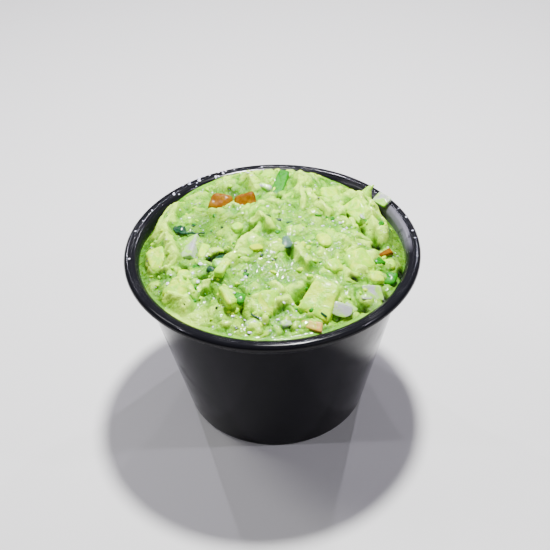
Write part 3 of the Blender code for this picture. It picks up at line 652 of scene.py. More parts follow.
def foldRise(x, y, cx, cy, radius, first, last, height, outside, inside):
    # a ridge along an arc: height times a bell of the distance to the arc, steeper on its narrow side
    away = np.hypot(x - cx, y - cy) - radius
    angle = np.degrees(np.arctan2(y - cy, x - cx))
    along = np.abs(wrapAngle(angle - (first + last) / 2.0)) / ((last - first) / 2.0)
    return height * hump(away, np.where(away > 0.0, outside, inside)) * ease((1.0 - along) / 0.35)


def strokeRise(x, y, height, left, right, line):
    # a ridge along a polyline: height times e to the minus (distance / width)^1.3, with its own width on
    # each side, and running out to nothing over the first and last fifth
    line = np.array(line, float)
    reach = 2.6 * max(left, right)
    rise = np.zeros_like(x)
    low, high = line.min(axis=0) - reach, line.max(axis=0) + reach
    near = np.nonzero((x > low[0]) & (x < high[0]) & (y > low[1]) & (y < high[1]))
    px, py = x[near], y[near]
    lengths = np.linalg.norm(np.diff(line, axis=0), axis=1)
    run = np.concatenate([[0.0], np.cumsum(lengths)]) / lengths.sum()
    best = np.full(px.shape, 1e9)
    side, along = np.zeros_like(px), np.zeros_like(px)
    for k in range(len(line) - 1):
        way = (line[k + 1] - line[k]) / lengths[k]
        ax, ay = px - line[k, 0], py - line[k, 1]
        t = np.clip(ax * way[0] + ay * way[1], 0.0, lengths[k])
        far = np.hypot(ax - t * way[0], ay - t * way[1])
        closer = far < best
        best = np.where(closer, far, best)
        side = np.where(closer, way[0] * ay - way[1] * ax, side)
        along = np.where(closer, run[k] + t / lengths[k] * (run[k + 1] - run[k]), along)
    width = left + (right - left) * ease(0.5 - side / (0.8 * min(left, right)))
    fade = ease(np.minimum(along, 1.0 - along) / 0.2)
    rise[near] = height * np.exp(-((best / width) ** 1.3)) * fade
    return rise


def domes(x, y, size, height, seed):
    # one rounded dome about each jittered grid point, the highest kept, so creases lie between
    half = int(40.0 / size) + 2
    rng = np.random.default_rng(seed)
    jitter = rng.uniform(-0.38, 0.38, (2 * half + 1, 2 * half + 1, 2))
    tall = rng.uniform(0.35, 1.0, (2 * half + 1, 2 * half + 1))
    column, row = np.floor(x / size).astype(int), np.floor(y / size).astype(int)
    best = np.zeros_like(x)
    for i in (-1, 0, 1, 2):
        for j in (-1, 0, 1, 2):
            a, b = np.clip(column + i + half, 0, 2 * half), np.clip(row + j + half, 0, 2 * half)
            px, py = (column + i + jitter[a, b, 0]) * size, (row + j + jitter[a, b, 1]) * size
            far = np.hypot(x - px, y - py) / (0.85 * size)
            best = np.maximum(best, tall[a, b] * (1.0 - np.clip(far, 0.0, 1.0) ** 2))
    return height * best


def calmShare(x, y, v):
    # how smooth the spoon left each point, from 0 to 1
    share = np.zeros_like(np.asarray(x, float))
    for cx, cy, sx, sy, most, _ in v["calm"]:
        share = np.maximum(share, most * spot(x, y, cx, cy, sx, sy))
    return share


def heapRelief(x, y, v):
    # the solid's own surface: dome, edge, folds, dents and broad lumps
    x, y = np.asarray(x, float), np.asarray(y, float)
    share = np.clip(np.hypot(x, y) / v["radius"], 0.0, 1.0)
    inner = 1.0 - ease((share - 0.93) / 0.07)
    height = cupValues["height"] - v["edgeDrop"] + v["rise"] * (1.0 - share**2)
    height = height - (edgeDrop(np.degrees(np.arctan2(y, x)), v) - v["edgeDrop"]) * share**7
    rough = foldRise(x, y, *v["backFold"])
    for each in v["strokes"]:
        rough = rough + strokeRise(x, y, *each)
    for cx, cy, sx, sy, rise in v["dents"]:
        rough = rough + rise * spot(x, y, cx, cy, sx, sy)
    calm = 1.0 - v["restShare"] * spot(x, y, *v["rest"])
    for size, rise, seed in v["domes"]:
        rough = rough + calm * (domes(x, y, size, rise, seed) - 0.4 * rise)
    return height + rough * (0.12 + 0.88 * inner)


def reliefAt(x, y):
    return float(heapRelief(np.array([float(x)]), np.array([float(y)]), heapValues)[0])


def softField(cells, step, longest, shortest, seed):
    # random field of waves between two lengths: white noise filtered in the frequency plane, spread 1
    rng = np.random.default_rng(seed)
    spectrum = np.fft.rfft2(rng.normal(size=(cells, cells)))
    fy, fx = np.fft.fftfreq(cells, step)[:, None], np.fft.rfftfreq(cells, step)[None, :]
    rate = np.hypot(fx, fy)
    keep = np.exp(-((rate * shortest) ** 2)) * (1.0 - np.exp(-((rate * longest) ** 2))) / (rate + 0.02)
    field = np.fft.irfft2(spectrum * keep, s=(cells, cells))
    return (field - field.mean()) / field.std()


def softMax(first, second, blend):
    # the higher of two surfaces, with the crease between them filled over a width "blend"
    return np.maximum(first, second) + np.maximum(blend - np.abs(first - second), 0.0) ** 2 / (4.0 * blend)


def pressLumps(height, tint, base, axis, lumps, v):
    # each lump is a tilted, turned dome with an oval or squarish outline, and the highest surface wins:
    # z = base + top (1 - |u/a|^p - |w/b|^p) + tilt along u and w
    count, small, large, out, seed = lumps
    rng = np.random.default_rng(seed)
    angle, far = rng.uniform(0, 2 * np.pi, count), 33.0 * np.sqrt(rng.uniform(size=count))
    middle = np.stack([far * np.cos(angle), far * np.sin(angle)], axis=1)
    half = rng.uniform(small, large, count)
    slim = rng.uniform(0.5, 1.0, count)
    turn = rng.uniform(0, np.pi, count)
    calm = calmShare(*middle.T, v)
    top = half * out * rng.uniform(0.3, 1.0, count)
    tilt = rng.normal(0.0, 0.22, (count, 2))
    shade = rng.uniform(0.0, 1.0, count) ** 1.3
    power = rng.uniform(2.0, 3.4, count)
    keep = rng.uniform(size=count) > calm
    for k in np.nonzero(keep)[0]:
        reach = half[k] * 1.35
        i0, i1 = np.searchsorted(axis, (middle[k, 0] - reach, middle[k, 0] + reach))
        j0, j1 = np.searchsorted(axis, (middle[k, 1] - reach, middle[k, 1] + reach))
        if i1 - i0 < 2 or j1 - j0 < 2:
            continue
        x, y = axis[None, i0:i1] - middle[k, 0], axis[j0:j1, None] - middle[k, 1]
        u = (x * math.cos(turn[k]) + y * math.sin(turn[k])) / half[k]
        w = (-x * math.sin(turn[k]) + y * math.cos(turn[k])) / (half[k] * slim[k])
        left = 1.0 - np.abs(u) ** power[k] - np.abs(w) ** power[k]
        lifted = base[j0:j1, i0:i1] + top[k] * np.where(left > 0, left, 2.0 * left)
        lifted = lifted + half[k] * (tilt[k, 0] * u + tilt[k, 1] * w) * 0.5
        old = height[j0:j1, i0:i1]
        wins = ease((lifted - old) / (0.12 * half[k] + 0.03))
        height[j0:j1, i0:i1] = softMax(old, lifted, 0.22 * half[k])
        tint[j0:j1, i0:i1] = tint[j0:j1, i0:i1] * (1.0 - wins) + shade[k] * wins


def blurMap(field, cells):
    # box blur, twice each way, by running sums
    for _ in range(2):
        for axisNumber in (0, 1):
            padded = np.concatenate([np.repeat(np.take(field, [0], axisNumber), cells, axisNumber), field,
                                     np.repeat(np.take(field, [-1], axisNumber), cells + 1, axisNumber)],
                                    axisNumber)
            total = np.cumsum(padded, axisNumber)
            size = field.shape[axisNumber]
            late = np.take(total, np.arange(2 * cells, 2 * cells + size), axisNumber)
            soon = np.take(total, np.arange(0, size), axisNumber)
            field = (late - soon) / (2.0 * cells)
    return field


def makeMaps(v):
    # maps of the heap over a square: height, tint of the lumps, painted shade, painted highlight on crests,
    # and holes carved and painted dark as shade
    cells, half = v["mapCells"], v["mapHalf"]
    axis = np.linspace(-half, half, cells)
    step = axis[1] - axis[0]
    x, y = np.meshgrid(axis, axis)
    base = heapRelief(x, y, v)
    near = 1.0 - ease((np.hypot(x, y) - 32.3) / 1.1)
    calm = 1.0 - calmShare(x, y, v)
    height = base.copy()
    for longest, shortest, rise, seed in v["puffs"]:
        # rounded puffs with creases between: the size of a soft random field, its sign dropped
        field = np.abs(softField(cells, step, longest, shortest, seed))
        height = height + rise * (np.minimum(field, 1.6) ** 0.75 - 0.7) * near * (0.12 + 0.88 * calm)
    ragged = softField(cells, step, 6.0, 2.2, 37)
    for dice in (d for d in diceValues.values() if d["stuff"] == "avocado"):
        # mash pushed up round each dice, in a ragged ring
        cx, cy = dice["at"]
        ring = np.hypot((x - cx) / (dice["half"][0] + 0.4), (y - cy) / (dice["half"][1] + 0.4))
        height = height + 0.8 * np.clip(0.6 + 0.7 * ragged, 0.0, 2.0) * hump(ring - 1.0, 0.35)
    tint = np.clip(0.30 + 0.22 * softField(cells, step, 14.0, 3.0, 32), 0.0, 1.0)
    carrier = height.copy()
    for lumps in v["lumps"]:
        pressLumps(height, tint, carrier, axis, lumps, v)
        carrier = blurMap(height, 3)
    height = base + (height - base) * (0.15 + 0.85 * near)
    # fine smears left by the spoon
    smears = 0.05 * softField(cells, step, 4.0, 0.5, 33) + 0.045 * softField(cells, step, 1.6, 0.4, 38)
    height = height + smears * near
    # painted shade: darker colour in hollows, and below that near the wall and in the smooth bowls
    hollow = np.clip((blurMap(height, 14) - height) / 0.9, 0.0, 1.0)
    hollow = hollow + np.clip((blurMap(height, 45) - height) / 2.2, 0.0, 1.0)
    angle = np.degrees(np.arctan2(y, x))
    for toward, spread, dark in v["edgeShade"]:
        outer = ease((np.hypot(x, y) - 26.5) / 5.0)
        hollow = hollow + dark * hump(wrapAngle(angle - toward), spread) * outer
    # painted light: calm parts with negative darkness turn paler instead
    paintedLight = np.zeros_like(x)
    for cx, cy, sx, sy, _, dark in v["calm"]:
        there = dark * spot(x, y, cx, cy, sx, sy)
        hollow, paintedLight = hollow + there, np.maximum(paintedLight, -0.36 * there)
    pit, lines = np.zeros_like(x), np.zeros_like(x)
    # painted highlight along the spoon's raised strokes
    for rise, _, _, line in v["strokes"]:
        if rise > 0:
            lines = np.maximum(lines, strokeRise(x, y, min(1.0, 0.35 * rise), 0.6, 0.6, line))
    # holes carved into the heap; the same mask paints them dark as shade
    for cx, cy, sx, sy, turn, dark in v["pits"]:
        c, d = math.cos(math.radians(turn)), math.sin(math.radians(turn))
        u, w = ((x - cx) * c + (y - cy) * d) / sx, (-(x - cx) * d + (y - cy) * c) / sy
        pit = np.maximum(pit, dark * np.exp(-((u * u + w * w) ** 1.5)))
    height = height - 1.9 * pit
    # painted highlight: paler colour on ridges, along the strokes and on the calm parts that take painted
    # light
    crest = np.clip((blurMap(height, 2) - blurMap(height, 18) - 0.06) / 0.55, 0.0, 1.0)
    crest = np.maximum(np.maximum(crest, paintedLight), lines * (0.7 + 0.3 * ragged.clip(-1.0, 1.0)))
    return {"axis": axis, "height": height, "tint": tint, "hollow": np.clip(hollow, 0.0, 1.0),
            "crest": crest, "pit": pit}


def readMap(maps, name, x, y):
    # bilinear reading of a map at points x, y
    axis, field = maps["axis"], maps[name]
    step = axis[1] - axis[0]
    u = np.clip((x - axis[0]) / step, 0, len(axis) - 1.001)
    w = np.clip((y - axis[0]) / step, 0, len(axis) - 1.001)
    i, j = u.astype(int), w.astype(int)
    fu, fw = u - i, w - j
    return ((field[j, i] * (1 - fu) + field[j, i + 1] * fu) * (1 - fw)
            + (field[j + 1, i] * (1 - fu) + field[j + 1, i + 1] * fu) * fw)


def discPoints(cells):
    # a square grid a, b carried onto a disc ring by ring: radius max(|a|, |b|), angle pi/4 times their ratio
    side = np.linspace(-1.0, 1.0, cells + 1)
    a, b = np.meshgrid(side, side)
    wide = np.abs(a) >= np.abs(b)
    safeA, safeB = np.where(a == 0, 1e-9, a), np.where(b == 0, 1e-9, b)
    radius = np.where(wide, a, b)
    angle = np.where(wide, np.pi / 4 * b / safeA, np.pi / 2 - np.pi / 4 * a / safeB)
    return radius * np.cos(angle), radius * np.sin(angle)


def heapMesh(v, maps):
    cells = v["cells"]
    ux, uy = discPoints(cells)
    share, angle = np.hypot(ux, uy), np.arctan2(uy, ux)
    edgeZ = heapRelief(v["radius"] * np.cos(angle), v["radius"] * np.sin(angle), v)
    reach = innerRadius(edgeZ) + v["overlap"]
    x, y = ux * reach, uy * reach
    # organic shapes: read the maps a little off, by a slow random shift
    level = np.stack([x.ravel(), y.ravel(), np.zeros(x.size)], axis=1)
    wobble = [0.55 * waves(level, 5.0, seed).reshape(x.shape) for seed in (41, 42)]
    rim = 1.0 - ease((share - 0.9) / 0.1)
    mx, my = x + wobble[0] * rim, y + wobble[1] * rim
    z = readMap(maps, "height", mx, my) + heapRelief(x, y, v) - heapRelief(mx, my, v)
    # bulge: points slide downhill on the steep sides, so lumps overhang their creases
    step = 0.25
    slopeX = (readMap(maps, "height", mx + step, my) - readMap(maps, "height", mx - step, my)) / (2 * step)
    slopeY = (readMap(maps, "height", mx, my + step) - readMap(maps, "height", mx, my - step)) / (2 * step)
    steep = np.hypot(slopeX, slopeY) + 1e-6
    slide = 0.20 * np.minimum(steep, 1.2) / steep * rim
    x, y = x - slide * slopeX, y - slide * slopeY
    top = np.stack([x, y, z], axis=-1).reshape(-1, 3)
    # the rest of the solid: its side inside the cup's wall, and its floor
    border = gridBorder(cells + 1, cells + 1)
    edge = top[border]
    edgeAngle = np.arctan2(edge[:, 1], edge[:, 0])
    floorZ = cupValues["footRise"] + cupValues["wall"] + 0.1
    rings = [edge]
    for z0 in (cupValues["lidSeat"] + 0.2, floorZ + 0.6, floorZ):
        radius = innerRadius(z0) - 0.05 - (0.6 if z0 == floorZ else 0.0)
        rings.append(np.stack([radius * np.cos(edgeAngle), radius * np.sin(edgeAngle),
                               np.full(len(edge), z0)], axis=1))
    side = np.concatenate(rings[1:])
    count, first = len(border), len(top)
    ringNumbers = np.concatenate([border, first + np.arange(3 * count)]).reshape(4, count)
    here, after = ringNumbers, np.roll(ringNumbers, -1, axis=1)
    walls = np.stack([here[1:], after[1:], after[:-1], here[:-1]], axis=-1).reshape(-1, 4)
    pole = first + len(side)
    under = np.stack([after[3], here[3], np.full(count, pole)], axis=-1)
    points = np.concatenate([top, side, [[0.0, 0.0, floorZ]]])
    mesh = meshFrom("mashHeap", points, [gridFaces(cells + 1, cells + 1, False), walls, under])
    rest = len(points) - len(top)
    for name in ("tint", "hollow", "crest", "pit"):
        values = readMap(maps, name, mx, my).ravel()
        setAttribute(mesh, name, np.concatenate([values, np.full(rest, 0.4)]))
    return mesh


mashColours = {
    "deep": (0.038, 0.150, 0.0015), "middle": (0.115, 0.375, 0.0015), "pale": (0.30, 0.69, 0.004),
    "warm": (0.46, 0.66, 0.003), "crest": (0.64, 0.98, 0.08), "pit": (0.008, 0.026, 0.001),
    "roughLow": 0.50, "roughHigh": 0.80, "scatter": 0.10, "coat": 0.7,
}


def mashMaterial(v):
    material, tree, shader, vector = startMaterial("mash")
    cloud = placeGroup(tree, mottle, vector, Scale=240.0, First=v["middle"], Second=v["pale"],
                       Balance=0.38, Softness=0.16)
    warmth = placeGroup(tree, film, vector, Scale=130.0, Cover=0.46, Softness=0.14)["Mask"]
    body = addMix(tree, times(tree, warmth, 0.5), cloud["Colour"], v["warm"])
    lump = addStep(tree, readAttribute(tree, "tint"), 0.25, 0.95)
    body = addMix(tree, times(tree, lump, 0.8), body, v["pale"])
    fine = placeGroup(tree, mottle, vector, Scale=1500.0, First=(1, 1, 1), Second=(0.52, 0.70, 0.36),
                      Balance=0.5, Softness=0.12)
    body = addMix(tree, 0.7, body, fine["Colour"], "MULTIPLY")
    # painted highlight: ridges turn pale yellow-green
    body = addMix(tree, times(tree, readAttribute(tree, "crest"), 0.75), body, v["crest"])
    # painted shade: the colour goes to a darker green in hollows, by the wall and in the bowls
    colour = addMix(tree, times(tree, readAttribute(tree, "hollow"), 0.70), body, v["deep"])
    # painted shade in the carved holes: near-black green
    holeShade = times(tree, readAttribute(tree, "pit"), 1.7, clamp=True)
    colour = addMix(tree, holeShade, colour, v["pit"])
    grain = placeGroup(tree, wetGrain, vector, Low_Roughness=v["roughLow"], High_Roughness=v["roughHigh"])
    coat = times(tree, grain["Wet"], v["coat"])
    moistFinish(tree, shader, colour, grain, (grain["Height"], 0.9, 0.36), coat,
                (v["scatter"], (1.0, 0.8, 0.35), 1.2), 0.5)
    return material


maps = makeMaps(heapValues)
mash = mashMaterial(mashColours)
addPiece("mashHeap", heapMesh(heapValues, maps), mash, ("guacamole",))
print("the mash is heaped")


# the dice in the mash

def blockPoints(half, turn, sharp, taper, seed, sides, rings, roughness=0.0):
    # in direction d the surface lies at r(d) = (sum of (d.n / h)^sharp)^(-1 / sharp) over six faces a little
    # off square, then narrows upwards by the taper and turns
    rng = np.random.default_rng(seed)
    axes = np.concatenate([np.eye(3), -np.eye(3)]) + rng.uniform(-0.14, 0.14, (6, 3))
    axes = axes / np.linalg.norm(axes, axis=1, keepdims=True)
    size = np.array(half, float)
    theta = 2.0 * np.pi * (np.arange(sides) + 0.5) / sides
    phi = np.pi * np.arange(1, rings + 1) / (rings + 1)
    theta, phi = np.meshgrid(theta, phi)
    ball = np.stack([np.sin(phi) * np.cos(theta), np.sin(phi) * np.sin(theta), np.cos(phi)], axis=-1)
    way = np.concatenate([ball.reshape(-1, 3), [[0.0, 0.0, 1.0], [0.0, 0.0, -1.0]]]) * size
    way = way / np.linalg.norm(way, axis=1, keepdims=True)
    facing = np.maximum(way @ axes.T, 0.0) / np.concatenate([size, size])
    points = way * (np.sum(facing**sharp, axis=1) ** (-1.0 / sharp))[:, None]
    if roughness:
        bumps = 0.75 * waves(points, 4.5, seed + 50) + 0.25 * waves(points, 1.6, seed + 51)
        points = points + way * (roughness * bumps)[:, None]
    points[:, :2] *= (1.0 - taper * np.clip(points[:, 2] / size[2], -1.0, 1.0))[:, None]
    return points @ np.array(Euler([math.radians(a) for a in turn]).to_matrix()).T


def blockFaces(sides, rings, first=0):
    last = rings * sides
    return [gridFaces(rings, sides, True, first)[:, ::-1], fanFaces(first, sides, first + last, False),
            fanFaces(first + last - sides, sides, first + last + 1, True)]


stuffValues = {
    "avocado": dict(first=(0.56, 0.82, 0.010), second=(0.40, 0.68, 0.006), film=0.50, rough=(0.40, 0.60),
                    scatter=0.14, bump=0.14, coat=0.3, shine=0.4, slot="avocado"),
    "onion": dict(first=(0.40, 0.40, 0.43), second=(0.32, 0.45, 0.16), film=0.50, rough=(0.16, 0.34),
                  scatter=0.3, bump=0.08, coat=0.4, shine=0.5, slot="onion"),
    "tomato": dict(first=(0.16, 0.050, 0.00005), second=(0.30, 0.15, 0.0003), film=0.22, rough=(0.36, 0.56),
                   scatter=0.0, bump=0.10, coat=0.0, shine=0.10, slot="tomato"),
    "pinkTomato": dict(first=(0.52, 0.27, 0.06), second=(0.46, 0.44, 0.05), film=0.42, rough=(0.34, 0.50),
                       scatter=0.1, bump=0.08, coat=0.15, shine=0.25, slot="pink_tomato"),
    "pepper": dict(first=(0.010, 0.17, 0.001), second=(0.032, 0.26, 0.002), film=0.05, rough=(0.40, 0.60),
                   scatter=0.15, bump=0.10, coat=0.1, shine=0.2, slot="pepper"),
    # painted glints: lilac-white specks that stand in for wet sparkles
    "speck": dict(first=(0.74, 0.70, 0.90), second=(0.52, 0.52, 0.62), film=0.0, rough=(0.10, 0.22),
                  scatter=0.2, bump=0.03, coat=0.6, shine=0.5, slot="onion"),
    "grey": dict(first=(0.045, 0.11, 0.075), second=(0.12, 0.24, 0.12), film=0.20, rough=(0.40, 0.60),
                 scatter=0.1, bump=0.10, coat=0.05, shine=0.15, slot="onion"),
    "lime": dict(first=(0.20, 0.58, 0.04), second=(0.34, 0.70, 0.10), film=0.34, rough=(0.34, 0.50),
                 scatter=0.2, bump=0.10, coat=0.15, shine=0.5, slot="pepper"),
    "yellow": dict(first=(0.47, 0.62, 0.0001), second=(0.42, 0.60, 0.0003), film=0.06, rough=(0.40, 0.60),
                   scatter=0.0, bump=0.08, coat=0.0, shine=0.05, slot="avocado"),
    "leaf": dict(first=(0.004, 0.030, 0.013), second=(0.016, 0.09, 0.03), film=0.06, rough=(0.30, 0.50),
                 scatter=0.05, bump=0.06, coat=0.1, shine=0.25, slot="leaf"),
}


def stuffMaterial(name, v):
    material, tree, shader, vector = startMaterial(name)
    cloud = placeGroup(tree, mottle, vector, Scale=420.0, First=v["first"], Second=v["second"],
                       Balance=0.42, Softness=0.2)
    over = placeGroup(tree, film, vector, Scale=330.0, Cover=v["film"], Softness=0.07)["Mask"]
    colour = addMix(tree, times(tree, over, 0.85), cloud["Colour"], mashColours["pale"])
    grain = placeGroup(tree, wetGrain, vector, Low_Roughness=v["rough"][0], High_Roughness=v["rough"][1])
    height = addMath(tree, "MULTIPLY_ADD", over, 0.8, grain["Height"])
    coat = addMath(tree, "MULTIPLY_ADD", grain["Wet"], v["coat"], 0.06)
    moistFinish(tree, shader, colour, grain, (height, 0.6, v["bump"]), coat,
                (v["scatter"], (1.0, 0.8, 0.4), 1.0), v["shine"])
    return material


stuffs = {name: stuffMaterial(name, v) for name, v in stuffValues.items()}


def camelName(node):
    head, *rest = node.split("_")
    return head + "".join(word.capitalize() for word in rest)


unevenness = {"avocado": 0.11, "tomato": 0.17}   # how far a cut face wanders from flat
for node, v in diceValues.items():
    large = max(v["half"]) > 2.5
    sides, rings = (96, 60) if large else (64, 40)
    points = blockPoints(v["half"], v["turn"], v["sharp"], v["taper"], v["seed"], sides, rings,
                         unevenness.get(v["stuff"], 0.05))
    x, y = v["at"]
    points = points + np.array([x, y, reliefAt(x, y) + v["lift"]])
    name = camelName(node)
    addPiece(name, meshFrom(name, points, blockFaces(sides, rings)), stuffs[v["stuff"]],
             (node,))
print("the dice are set in")

rimOnionValues = {"at": (28.9, 17.0), "overRim": 0.9, "half": (2.0, 1.5, 0.35), "turn": (22, 12, -42)}


def addRimOnion(v):
    points = blockPoints(v["half"], v["turn"], 10, 0.0, 31, 64, 40, 0.05)
    points = points + np.array([*v["at"], cupValues["height"] + v["overRim"]])
    addPiece("onionRim", meshFrom("onionRim", points, blockFaces(64, 40)), stuffs["onion"],
             ("onion_rim",))


addRimOnion(rimOnionValues)


# small bits that lie in the mash

bitValues = {
    "names": {"avocado": "avocadoBits", "onion": "onionBits", "pepper": "pepperBits", "leaf": "leafBits",
              "yellow": "yellowBits", "grey": "greyBit", "lime": "limeBit"},
    # x, y, half sizes, turn about z, how far out, what it is
    "placed": (
        (-12.4, -8.0, 1.5, 1.0, 0.7, 20, 0.20, "leaf"), (-14.6, -12.0, 1.2, 0.9, 0.7, -30, 0.25, "leaf"),
        (-12.8, -10.6, 1.7, 1.6, 1.5, 10, 0.35, "lime"),
        (-8.0, -22.6, 1.3, 1.6, 0.8, -15, 0.30, "pepper"), (2.6, -29.6, 1.3, 0.9, 0.6, 15, 0.1, "onion"),
        (25.6, -8.6, 1.5, 1.5, 0.9, 40, 0.35, "pepper"),
        (28.2, -13.6, 1.4, 1.8, 0.9, -20, 0.30, "pepper"),
        (-3.7, -7.9, 1.6, 1.1, 0.8, 25, 0.40, "yellow"), (-8.6, 1.8, 1.5, 1.2, 0.8, 35, 0.45, "avocado"),
        (3.6, -4.6, 1.2, 1.9, 0.5, 12, 0.15, "grey"), (-5.2, -29.0, 1.6, 1.2, 0.9, 30, 0.10, "onion"),
        (-16.8, -3.6, 1.2, 2.6, 1.0, -12, 0.25, "avocado"),
        (-1.2, 20.6, 1.7, 0.8, 0.8, -35, 0.35, "onion"), (15.3, 18.8, 2.3, 2.4, 1.7, 20, 0.35, "avocado"),
        (28.0, -7.9, 1.9, 1.6, 1.3, 15, 0.20, "avocado"),
        (24.8, -14.4, 1.8, 1.7, 1.4, 10, 0.45, "avocado"),
        (-10.7, -22.6, 1.4, 2.9, 1.5, 24, 0.10, "avocado"),
        (-21.4, -14.3, 1.5, 2.4, 1.4, 10, 0.25, "avocado"),
        (12.8, -4.4, 1.7, 2.3, 1.3, 12, 0.05, "avocado"),
        (14.6, -13.4, 2.1, 1.8, 1.4, 30, 0.25, "avocado"),
        (17.4, 10.2, 1.9, 1.2, 1.2, -35, 0.15, "avocado"),
        (-12.1, -14.9, 1.3, 1.9, 1.2, -25, 0.05, "avocado"),
    ),
}


def bitSpecs(v):
    return [dict(at=(x, y), half=(a, b, c), turn=(12.0, 8.0, turn), lift=out - 0.45 * c, seed=100 + k,
                 stuff=stuff)
            for k, (x, y, a, b, c, turn, out, stuff) in enumerate(v["placed"])]


def addBlocks(name, stuff, specs, sides, rings, sharp, roughness):
    # many small blocks joined in one piece
    points, faces = [], [[], []]
    for k, s in enumerate(specs):
        x, y = s["at"]
        shape = blockPoints(s["half"], s["turn"], sharp, 0.0, s["seed"], sides, rings, roughness)
        points.append(shape + np.array([x, y, s.get("z", reliefAt(x, y)) + s["lift"]]))
        quads, top, bottom = blockFaces(sides, rings, k * (sides * rings + 2))
        faces[0].append(quads)
        faces[1] += [top, bottom]
    mesh = meshFrom(name, np.concatenate(points), [np.concatenate(faces[0]), np.concatenate(faces[1])])
    addPiece(name, mesh, stuffs[stuff])


allBits = bitSpecs(bitValues)
for stuff, label in bitValues["names"].items():
    addBlocks(label, stuff, [s for s in allBits if s["stuff"] == stuff], 36, 24, 4.0, 0.16)


clearSpots = ((-3.7, -7.9), (-23.2, 5.4), (-21.6, 4.8))   # the yellow bit and the leaf stay free of flecks
clearAround = 1.6


def fleckSpecs(v):
    # loose flecks lying on the surface at its real height
    rng, count = np.random.default_rng(v["seed"]), v["count"]
    angle, far = rng.uniform(0, 2 * np.pi, count), 31.5 * np.sqrt(rng.uniform(size=count))
    x, y = far * np.cos(angle), far * np.sin(angle)
    z = readMap(maps, "height", x, y)
    size = rng.uniform(v["small"], v["large"], count)
    return [dict(at=(x[k], y[k]), z=z[k],
                 half=(size[k], size[k] * rng.uniform(0.35, 0.9), size[k] * v["flat"]),
                 turn=tuple(rng.uniform(-35.0, 35.0, 2)) + (rng.uniform(0, 180),),
                 lift=v["sink"] * size[k], seed=v["seed"] * 1000 + k) for k in range(count)
            if all(math.hypot(x[k] - cx, y[k] - cy) > clearAround for cx, cy in clearSpots)]


fleckValues = (
    dict(name="leafFlecks", count=60, small=0.16, large=0.42, flat=0.3, stuff="leaf", seed=61, sink=-0.05),
    dict(name="pepperFlecks", count=34, small=0.25, large=0.7, flat=0.5, stuff="pepper", seed=62, sink=-0.15),
    dict(name="onionFlecks", count=80, small=0.2, large=0.6, flat=0.4, stuff="onion", seed=63, sink=-0.1),
    dict(name="avocadoCrumbs", count=150, small=0.3, large=0.9, flat=0.6, stuff="avocado", seed=64,
         sink=-0.1),
    # painted glints scattered over the mash
    dict(name="paintedGlintFlecks", count=300, small=0.10, large=0.25, flat=0.6, stuff="speck", seed=65, sink=0.1),
)
placedFlecks = {
    # x, y, half length, half width, turn
    "leafMarks": ("leaf", ((-2.4, -9.4, 0.7, 0.35, 70), (0.2, -10.6, 0.7, 0.4, -20),
                           (-0.8, 3.6, 1.3, 0.4, 10), (1.7, 3.4, 0.8, 0.35, -15),
                           (4.6, 3.0, 0.9, 0.3, 25), (4.9, 15.0, 0.5, 0.4, 0),
                           (-6.4, -14.4, 0.5, 0.4, 30), (-19.8, 8.6, 0.5, 0.3, 40),
                           (22.6, -10.2, 0.6, 0.35, 50), (24.9, 2.0, 0.5, 0.4, 0),
                           (-4.4, -27.6, 1.2, 0.3, -35), (-8.6, -30.0, 0.5, 0.4, 20),
                           (-18.3, -5.6, 0.4, 0.3, 10), (-12.0, 3.4, 0.7, 0.25, -30))),
    "greenMarks": ("pepper", ((-6.2, -15.2, 0.9, 0.6, 30), (14.8, 5.6, 1.2, 0.5, -10),
                              (12.0, 6.6, 0.9, 0.4, 10), (27.4, 3.4, 0.9, 0.6, 40),
                              (-18.4, -9.6, 1.2, 0.6, -30), (-14.8, 3.8, 0.7, 0.4, 60),
                              (1.6, -0.6, 0.6, 0.5, 0), (24.0, 5.8, 0.7, 0.4, 80),
                              (-26.6, -12.0, 0.8, 0.5, 20))),
    "onionMarks": ("onion", ((22.0, -20.6, 1.2, 0.7, 10), (23.8, 7.2, 1.6, 1.0, 40),
                             (-26.8, -3.6, 0.9, 1.3, 10))),
}
# painted glints in clusters: lilac-white specks, partly standing for minced onion: x, y
onionSpots = (
    (-7.3, -17.1), (-8.3, -18.2), (-6.4, -16.3), (-1.9, -26.9), (-2.8, -25.8), (-1.2, -27.9),
    (0.5, -24.3), (-0.4, -25.1), (1.7, -23.8), (3.2, -26.5), (2.4, -25.4), (3.9, -27.8), (-3.3, -28.0),
    (-4.5, -28.8), (-1.1, -31.2), (-5.7, -31.4), (-25.2, -14.4), (-19.2, -12.0), (-17.9, -15.8),
    (5.9, -30.4), (5.1, -31.3), (-17.5, -8.8), (-14.0, -20.5), (-12.1, -22.3), (-2.5, -13.2),
    (-4.2, -11.5), (11.5, -0.3), (17.2, 4.0), (9.4, 20.7), (7.3, 5.4), (18.2, -0.8), (13.2, -22.0),
    (20.1, -24.5), (-16.4, -2.1), (-24.6, -11.7), (-19.7, -19.0), (-2.4, -9.3), (-6.9, -23.2),
    (-9.5, -26.7), (-10.3, -31.4), (-14.2, -28.8), (19.4, -8.1), (-0.7, 10.2), (4.9, 11.1), (5.8, -7.4),
    (-7.4, -28.6), (-6.6, -27.2), (-7.9, -26.1), (-2.1, -29.6), (-0.2, -29.0), (0.9, -28.3), (1.9, -29.8),
    (2.7, -28.9), (-3.9, -30.5), (4.4, -24.9), (5.0, -26.2), (-9.2, -21.4), (-10.0, -19.2),
    (-21.2, -17.6), (-22.7, -15.9), (-23.6, -17.0), (14.6, 1.8), (15.8, 2.9), (16.6, 1.2), (17.9, 0.6),
    (18.8, 2.4), (12.8, 2.6), (10.6, 23.4), (12.1, 21.6), (-5.6, 24.8), (-7.1, 12.6), (21.8, -14.9),
    (23.4, -12.8), (22.6, -8.4), (-1.2, -8.2), (0.6, -8.8), (-5.8, -10.2),
)


